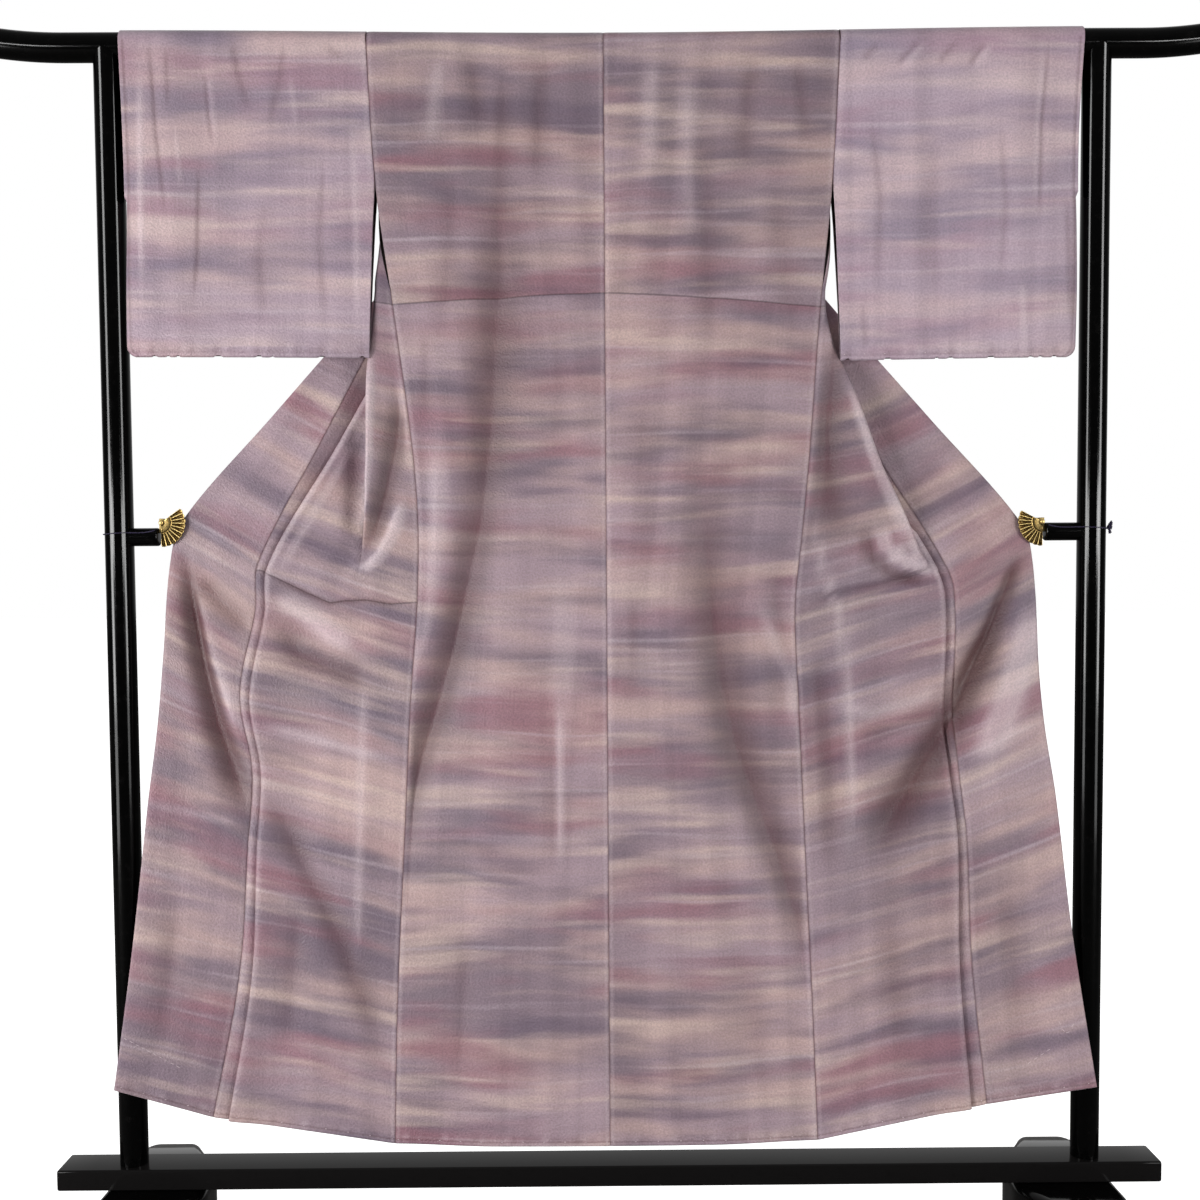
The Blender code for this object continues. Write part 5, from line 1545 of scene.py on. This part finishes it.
def back_row(side, reach, columns):
    """One row across the back, from its side edge to the neck line and on to the middle."""
    sign = dict(SIDES)[side]
    z = hang_height(reach)
    edge = seam_out(side, z)
    fine = [0.0, 0.0009, 0.0022, 0.0045]
    u = np.concatenate((fine, np.linspace(0.008, edge - NECK_HALF, columns - len(fine))))
    neck = [NECK_HALF * (1 - t) for t in NECK_COLUMNS[1:]] + list(SEAM_OFFSETS)
    u = np.concatenate((u, edge - np.array(neck)))
    out = edge - u
    lean = ease(1 - u / SEAM_LEAN)
    y = mix(-WRAP_R, read_table(SEAM, "depth", z), lean)
    world_z = z - rail_sag(out)
    room = mix(0.009, 0.030, ease((z - 0.80) / 0.10))
    deep, dark = fold_shape(BACK_FOLDS, sign * out, world_z) * (
        ease(u / room) * ease((reach - QUARTER) / 0.05))
    tuck = tuck_distance(side, out, reach)
    y = y + deep + groove(out) + groove(u) - lapped(tuck) - hem_roll(reach, out)
    sewn = 1.0 if reach < ATTACH or reach > UNDERARM else 0.35
    shade = dark + seam_line(out) + sewn * seam_line(u) + hem_line(reach, out)
    return Row(points_at(out, y, z), u, shade, tuck)


# %% Body panels
RAIL_STEPS = 16
FRONT_SHIFT = (0.9, 0.35)                    # so that the fronts show other dyes than the backs


def over_rail(near, far, columns):
    """Rows of cloth lying on the rail, between the last near row and the first far row."""
    rows = []
    for step in range(1, RAIL_STEPS):
        t = step / RAIL_STEPS
        angle = math.pi * (t - 0.5)
        out = near.points[:, 0].copy()
        out[:columns] = mix(out[:columns], far.points[:, 0], t)
        u = near.u.copy()
        u[:columns] = mix(u[:columns], far.u, t)
        dip = groove(out, depth=0.0005) + groove(u, depth=0.0005)
        points = points_at(out, (WRAP_R - dip) * math.sin(angle),
                           RAIL_Z + (WRAP_R - dip) * math.cos(angle))
        shade = seam_line(out) + seam_line(u)
        rows.append((angle, Row(points, u, shade, near.tuck * 0 - 1.0)))
    return rows


def build_body(side, sign):
    """One body panel: back, shoulder and front."""
    levels = cloth_rows()
    fronts = [front_row(side, reach) for reach in levels]
    columns = len(fronts[0].u)
    backs = [back_row(side, reach, columns) for reach in levels]
    rail = over_rail(backs[0], fronts[0], columns)
    near, far = stacked(backs[::-1] + [row for _, row in rail]), stacked(fronts)
    v_near = np.concatenate((-levels[::-1], [WRAP_R * angle for angle, _ in rail]))
    sheet = Sheet()
    ids = sheet.add_points(near.points, near.fold, near.tuck)
    far_ids = sheet.add_points(far.points, far.fold, far.tuck)
    count = len(levels)
    for n, reach in enumerate(levels):
        if reach >= UNDERARM - 1e-6:
            far_ids[n, 0] = ids[count - 1 - n, 0]
    start = CUT_FROM["body_" + side]
    whole = np.concatenate((ids[:, :columns], far_ids))
    v = np.concatenate((v_near, levels))[:, None] + start[1]
    across = np.concatenate((near.u[:, :columns], far.u)) + start[0]
    split = len(ids)
    sheet.add_patch(whole[:split + 1], across[:split + 1], v[:split + 1])
    sheet.add_patch(whole[split:], across[split:] + FRONT_SHIFT[0], v[split:] + FRONT_SHIFT[1])
    kept = count + sum(1 for angle, _ in rail if angle < NECK_ANGLE + 1e-6)
    sheet.add_patch(ids[:kept, columns - 1:], near.u[:kept, columns - 1:] + start[0], v[:kept])
    body = sheet.build("silk_body_" + side, True, sign, (SILK_CLOTH, LINING), SILK)
    return finish_piece(body, SILK_CLOTH, "crepe_silk", "body_" + side)


BODY = {side: build_body(side, sign) for side, sign in SIDES}

# %% [markdown]
# ## Sleeves
# Each sleeve is a bag round the rail, folded at the bottom and sewn to the body only near the
# shoulder. Its outer edge is closed below the opening for the hand, and its inner edge is open
# all the way down, as on a woman's kimono. The bottom outer corner is rounded.

# %% Sleeve edges
SLEEVE = [
    "z inner left_cuff right_cuff",
    (1.236, 0.3290, 0.6650, 0.6560), (1.330, 0.3255, 0.6655, 0.6590),
    (1.420, 0.3215, 0.6640, 0.6590), (1.485, 0.3182, 0.6640, 0.6580),
    (1.560, 0.3222, 0.6650, 0.6590), (1.700, 0.3287, 0.6690, 0.6670),
]
CUFF_BOTTOM, SLEEVE_CORNER = 1.462, 0.014
SLEEVE_SPANS = np.concatenate(([0.0, 0.004, 0.009, 0.016], np.linspace(0.03, 0.97, 130),
                               [0.984, 0.991, 0.996, 1.0]))


def sleeve_outs(side, z):
    """Places across the sleeve at height z, the bottom corner rounded."""
    inner = read_table(SLEEVE, "inner", z)
    if z > hang_height(ATTACH):
        inner = max(inner, seam_out(side, z) + 0.0001)
    cuff = read_table(SLEEVE, side + "_cuff", z)
    up = z - SLEEVE_BOTTOM[side]
    if up < SLEEVE_CORNER:
        cuff -= SLEEVE_CORNER - math.sqrt(SLEEVE_CORNER**2 - (SLEEVE_CORNER - up)**2)
    return mix(inner, cuff, SLEEVE_SPANS)


def sleeve_rows(side, sign):
    """Rows round the bag: bottom fold, near layer, over the rail, far layer."""
    radius, low = WRAP_R - SILK / 2, SLEEVE_BOTTOM[side]
    bottom_y = (SLEEVE_FORWARD - SILK / 2 - radius) / 2
    heights = np.concatenate((low + np.array([0.0012, 0.0030, 0.0055, 0.009]),
                              np.linspace(low + 0.014, RAIL_Z, 90)))
    layers = {"near": [], "far": []}
    for z in heights:
        out = sleeve_outs(side, z)
        deep, dark = fold_shape(SLEEVE_FOLDS, sign * out, z - rail_sag(out)) * ease(
            (RAIL_Z + 0.006 - z) / 0.02)
        pinch = 1 - ease((z - low) / 0.012)
        shut = 1 - ease((out[-1] - out) / 0.006) if z < CUFF_BOTTOM else 0.0
        sewn = z > hang_height(ATTACH)
        edge = groove(out - out[0]) if sewn else 0.0
        near_y = mix(-radius, bottom_y, pinch) + deep
        far_y = mix(far_sleeve_depth(z) - SILK / 2, bottom_y, pinch) + 0.6 * deep
        middle = (near_y + far_y) / 2
        shade = dark + (seam_line(out - out[0]) if sewn else 0.0)
        shade = shade + 0.45 * bell(out[-1] - out - 0.0060, 0.0013)
        ends = np.clip(np.minimum(out - out[0], out[-1] - out) / 0.010, 0, 1)
        beside = ends * bell(z - low - 0.009, 0.009)
        near_y = near_y - 0.0006 * pucker(out) * beside
        # painted shade and light of the gathers beside the bottom, and the dark stitched line
        # above it
        shade = shade - 0.18 * pucker(out) * beside + 0.45 * bell(z - low - 0.0070, 0.0018)
        for key, y, push in (("near", near_y, edge), ("far", far_y, -edge)):
            layers[key].append((points_at(out, mix(y, middle, shut) + push, z), shade))
    bottom = sleeve_outs(side, low + 0.0002)
    first = (points_at(bottom, bottom_y, low), 0 * bottom)
    over = []
    for step in range(1, RAIL_STEPS):
        angle = math.pi * (step / RAIL_STEPS - 0.5)
        z = RAIL_Z + radius * math.cos(angle)
        out = sleeve_outs(side, z)
        over.append((points_at(out, radius * math.sin(angle), z), seam_line(out - out[0])))
    return heights, [first] + layers["near"] + over + layers["far"][::-1]


def build_sleeve(side, sign):
    """The whole bag, closed along the bottom and below the cuff."""
    heights, rows = sleeve_rows(side, sign)
    grid, fold = (np.stack(values) for values in zip(*rows))
    sheet = Sheet()
    ids = sheet.add_points(grid, fold, -1.0)
    for n, z in enumerate(heights):
        if z < CUFF_BOTTOM:
            ids[len(rows) - 1 - n, -1] = ids[1 + n, -1]
    ids, grid = (np.concatenate((values, values[:1])) for values in (ids, grid))
    u, v = grid[:, :, 0] - 0.32, run_length(grid[:, 5])[:, None]
    start = CUT_FROM["sleeve_" + side]
    sheet.add_patch(ids, u + start[0], v + start[1])
    sleeve = sheet.build("silk_sleeve_" + side, False, sign, (SLEEVE_CLOTH[side], LINING), SILK,
                         offset=1.0)
    return finish_piece(sleeve, SLEEVE_CLOTH[side], "crepe_silk", "sleeve_" + side)


SLEEVES = {side: build_sleeve(side, sign) for side, sign in SIDES}

# %% [markdown]
# ## Overlap panels
# The narrow panel outside each front (okumi) is a tapered strip. It is taut from its tip to the
# clip and hangs free below, in front of the post. The clip's deep fold runs across its seam, so
# panel and front share the same fold table and the same edge.

# %% Overlap panels
def overlap_row(side, sign, reach):
    """One row of the overlap panel, from its seam to its outer edge."""
    inner, outer = edge_point(FRONT_EDGE, side, reach), edge_point(OVERLAP_EDGE, side, reach)
    width = float(np.linalg.norm(outer - inner))
    ends = np.minimum([0.0, 0.0009, 0.0024, 0.006], [0.0, 0.1 * width, 0.2 * width, 0.3 * width])
    s = np.concatenate((ends, np.linspace(max(ends[-1] * 1.6, 0.0002), width * 0.97, 26),
                        [width * 0.985, width]))
    place = inner + (outer - inner) * (s / width)[:, None]
    out, world_z = place[:, 0], place[:, 2] - rail_sag(place[:, 0])
    lower, nearer = front_folds(sign, reach, out, world_z)
    deep, dark = lower + nearer * (1 - ease(s / 0.03))
    turned = 0.0008 * ease((s - width + 0.004) / 0.004)
    place[:, 1] += deep + groove(s) - hem_roll(reach, out) + turned
    clip = CLIPS[side]
    # painted shade round the clip, where the fan pinches the cloth
    away = np.hypot(out - clip.tip + 0.030, place[:, 2] - clip.pivot_z + 0.004)
    shade = dark + seam_line(s) + hem_line(reach, out) + 0.38 * bell(away, 0.017)
    return Row(place, s, shade, 0 * s - 1.0)


def build_overlap(side, sign):
    """Panel from its tip, level with the neck, to the hem."""
    levels = cloth_rows()
    levels = np.concatenate(([POINT + 0.002, POINT + 0.006], levels[levels > POINT + 0.010]))
    grid = stacked([overlap_row(side, sign, reach) for reach in levels])
    sheet = Sheet()
    ids = sheet.add_points(grid.points, grid.fold, grid.tuck)
    start = CUT_FROM["okumi_" + side]
    sheet.add_patch(ids, grid.u + start[0], levels[:, None] + start[1])
    panel = sheet.build("silk_okumi_" + side, True, sign, (SILK_CLOTH, LINING), SILK)
    return finish_piece(panel, SILK_CLOTH, "crepe_silk", "okumi_" + side)


OKUMI = {side: build_overlap(side, sign) for side, sign in SIDES}

# %% [markdown]
# ## Collar
# The collar is one long folded strip. It runs from clip to clip along the fronts' edges and
# over the neck, lying behind the rail with its silk to the back; below the neck it curls round
# the overlap panel's edge. A shorter over-collar is sewn on its middle stretch. Both are drawn
# as a few rows of points and then refined by a smooth curve in both directions.

# %% Collar
COLLAR_THICK, OVER_THICK, COLLAR_WIDTH, OVER_HALF = 0.0020, 0.0010, 0.058, 0.45
NECK_STAND_OFF, CURL, LIP_BACK = 0.0030, 0.0016, 0.0026
INSIDE_EDGE = 0.0024
COLLAR_STEPS = (0.0, 0.05, 0.10, 0.20, 0.30, 0.62, 1.0)
COLLAR_WRAP_R = RAIL_R + 0.0015 + COLLAR_THICK / 2
NECK_STATIONS = [(0.000, 0.0), (0.040, 22.0), (0.080, 42.0)]
COLLAR_LEVELS = (0.050, 0.085, 0.130, 0.180, 0.235, 0.280, 0.325, 0.370, 0.418, 0.466, 0.514,
                 0.562, 0.610, 0.658, 0.706, 0.750, 0.790)


def neck_point(out, run):
    """Collar point on the rail, run metres below the neck seam."""
    angle = NECK_ANGLE + (run + 0.0008) / COLLAR_WRAP_R
    if angle < math.pi / 2:
        return np.array((out, COLLAR_WRAP_R * math.sin(angle),
                         RAIL_Z + COLLAR_WRAP_R * math.cos(angle)))
    return np.array((out, COLLAR_WRAP_R, RAIL_Z - COLLAR_WRAP_R * (angle - math.pi / 2)))


def arm_rows(side):
    """Rows of the collar from beside the neck to the clip."""
    tables = [FRONT_EDGE if reach <= POINT else OVERLAP_EDGE for reach in COLLAR_LEVELS]
    seams = [edge_point(table, side, reach) for table, reach in zip(tables, COLLAR_LEVELS)]
    rows = []
    for n, (seam, reach) in enumerate(zip(seams, COLLAR_LEVELS)):
        run = seams[min(n + 1, len(seams) - 1)] - (
            seams[n - 1] if n else neck_point(NECK_HALF, 0.0))
        most = mix(46.0, 90.0, reach / 0.36)
        lean = min(math.atan2(abs(run[2]), abs(run[0])), math.radians(most))
        inward = np.array((-math.sin(lean), 0.0, -math.cos(lean)))
        curl = float(ease((reach - 0.03) / 0.09))
        row = []
        for t in COLLAR_STEPS:
            angle = math.pi * min(t / 0.10, 1.0)
            proud = curl * (CURL / 2 * math.sin(angle) - INSIDE_EDGE)
            flat = max(t - 0.10, 0.0) * COLLAR_WIDTH + (1 - curl) * t * 0.1 * COLLAR_WIDTH
            place = seam + inward * (flat - proud)
            place[1] += curl * (CURL / 2 * (1 - math.cos(angle)) + LIP_BACK)
            place[1] += (1 - curl) * NECK_STAND_OFF
            row.append(place)
        rows.append(row)
    return rows


def collar_grid():
    """Refined grid of the whole collar, right clip to left clip, in world space."""
    half = []
    for out, degrees in NECK_STATIONS:
        inward, down = math.sin(math.radians(degrees)), math.cos(math.radians(degrees))
        half.append([neck_point(out - t * COLLAR_WIDTH * inward, t * COLLAR_WIDTH * down)
                     for t in COLLAR_STEPS])
    flip = np.array((-1.0, 1.0, 1.0))
    middle = half[::-1] + [[p * flip for p in row] for row in half[1:]]
    left, right = ([[p * np.array((sign, 1, 1)) for p in row] for row in arm_rows(side)]
                   for side, sign in SIDES)
    rows = np.array(right[::-1] + middle + left)
    along = run_length(rows[:, 3])
    at = np.linspace(0, along[-1], 300)
    longer = np.stack([[curve_through(along, rows[:, c, k], at) for k in range(3)]
                       for c in range(len(COLLAR_STEPS))])
    spans = np.concatenate((np.linspace(0, 0.12, 9), np.linspace(0.16, 1.0, 13)))
    finer = np.stack([[curve_through(COLLAR_STEPS, longer[:, k, r], spans) for k in range(3)]
                      for r in range(len(at))])
    return finer.transpose(0, 2, 1), at, spans * COLLAR_WIDTH


def grid_normals(grid):
    """Unit normals of a grid, by the right-hand rule of its quads."""
    return unit(np.cross(np.gradient(grid, axis=1), np.gradient(grid, axis=0)))


def build_collars():
    """Collar, and over-collar laid on the outside of its middle stretch."""
    grid, along, across = collar_grid()
    outer = (COLLAR_THICK + OVER_THICK) / 2 + GAP + 0.0002
    middle, start = along[-1] / 2, CUT_FROM["collar"]
    stretch = np.abs(along - middle) < OVER_HALF
    over = (grid + grid_normals(grid) * outer)[stretch][:, 7:]
    made = []
    for name, points, u, v, thick, node in (
            ("silk_collar", grid, across, along, COLLAR_THICK, "collar"),
            ("silk_over_collar", over, across[7:], along[stretch] + 2.7, OVER_THICK,
             "over_collar")):
        sheet = Sheet()
        ids = sheet.add_points(points, 0.4 * seam_line(u - u[-1])[None, :], -1.0)
        sheet.add_patch(ids, u[None, :] + start[0], v[:, None] + start[1])
        piece = sheet.build(name, False, 1, (SILK_CLOTH,), thick)
        made.append(finish_piece(piece, SILK_CLOTH, "crepe_silk", node))
    return made


COLLAR, OVER_COLLAR = build_collars()

# %% [markdown]
# ## Stitches
# The hem and the bottoms of the sleeves are closed by hand, one small stitch about every 27 mm,
# and short rows of light tacking are left on the overlap panels. A Geometry Nodes tree lays one
# stitch after another along a line on the cloth, each turned with the line.

# %% Thread and its tree
def silk_thread():
    """Plain sewing silk, two plies with a soft shine; it reads as small light dashes."""
    made, tree, shader = new_material("sewing_silk", {"Roughness": 0.5})
    place = add_node(tree, "ShaderNodeTexCoord")
    plies = add_node(tree, "ShaderNodeTexWave", {
        "Vector": place.outputs["Object"], "Scale": 1 / 0.0016, "Distortion": 1.0},
        bands_direction="DIAGONAL")
    tone = blend_in(tree, colour("#b9a5ac"), colour("#e0d2d4"), plies.outputs["Fac"])
    fill(shader, {"Base Color": tone})
    return made


def stitch_tree():
    """Tree: one stitch after another along a line, each turned with it."""
    tree, given = new_tree("stitches", Line="Geometry", Stitch="Object", Count="Int",
                           Finish="Material")
    curve = add_node(tree, "GeometryNodeMeshToCurve", {"Mesh": given["Line"]})
    spaced = add_node(tree, "GeometryNodeResampleCurve", {"Curve": curve, "Count": given["Count"]})
    tangent = add_node(tree, "GeometryNodeInputTangent")
    turn = add_node(tree, "FunctionNodeAlignRotationToVector", {"Vector": tangent}, axis="X")
    return lay_copies(tree, given["Stitch"], spaced, turn, given["Finish"])


THREAD, STITCH_TREE = silk_thread(), stitch_tree()

# %% Rows of stitches
def stitch_object(length, radius):
    """One stitch along X: a thread that rises from the cloth and dips back into it."""
    rings = []
    for t in np.linspace(-1, 1, 7):
        thick = radius * math.sqrt(max(1 - 0.85 * t * t, 0.05))
        rings.append([(t * length / 2, thick * math.cos(a), thick * math.sin(a) - 0.3 * radius)
                      for a in circle(8)])
    return loft("stitch", rings)


def row_of_stitches(name, cloth, line, spacing, length, radius):
    """Stitches along (x, z) points laid on the camera side of a piece of cloth."""
    near = BVHTree.FromObject(cloth, bpy.context.evaluated_depsgraph_get())
    hits = [near.ray_cast(Vector((x, -1.0, z)), Vector((0.0, 1.0, 0.0)))[0] for x, z in line]
    spots = [hit + Vector((0.0, -0.2 * radius, 0.0)) for hit in hits if hit is not None]
    carrier = new_mesh(name, spots, (), [(n, n + 1) for n in range(len(spots) - 1)])
    run = sum((b - a).length for a, b in zip(spots, spots[1:]))
    stitch = stitch_object(length, radius)
    mesh = run_tree(name, STITCH_TREE, {
        "Stitch": stitch, "Count": max(round(run / spacing), 2), "Finish": THREAD}, carrier)
    bpy.data.objects.remove(stitch)
    mesh.shade_smooth()
    return finish_piece(add_object(name, mesh), THREAD, "crepe_silk")


TACKING = {
    "tacking_left": ("left", [(-0.689, 0.279), (-0.654, 0.257), (-0.618, 0.235)]),
    "tacking_right": ("right", [(0.603, 0.231), (0.629, 0.250)]),
    "tacking_mark": ("right", [(0.644, 0.290), (0.653, 0.273), (0.662, 0.287)]),
}
SMALL = {"length": 0.0022, "radius": 0.00042}  # the stitches of the hem and of the sleeves
for name, (side, line) in TACKING.items():
    row_of_stitches(name, OKUMI[side], line, spacing=0.0080, length=0.0052, radius=0.00040)
for side, sign in SIDES:
    hem = LENGTH - 0.0062
    for part, row, cloth in (("back", back_row(side, hem, 60), BODY[side]),
                             ("front", front_row(side, hem), BODY[side]),
                             ("okumi", overlap_row(side, sign, hem), OKUMI[side])):
        out, z = row.points[:, 0], row.points[:, 2] - rail_sag(row.points[:, 0])
        line = [(sign * o, h) for o, h in zip(out[3:-3], z[3:-3])]
        row_of_stitches("hem_stitches_%s_%s" % (part, side), cloth, line, spacing=0.028, **SMALL)
    low = SLEEVE_BOTTOM[side] + 0.0070
    out = sleeve_outs(side, low)[3:-4]
    line = [(sign * o, low - rail_sag(o)) for o in out]
    row_of_stitches("sleeve_stitches_" + side, SLEEVES[side], line, spacing=0.026, **SMALL)
print("stitches sewn")

# %% [markdown]

# %% Finish
bpy.context.view_layer.update()
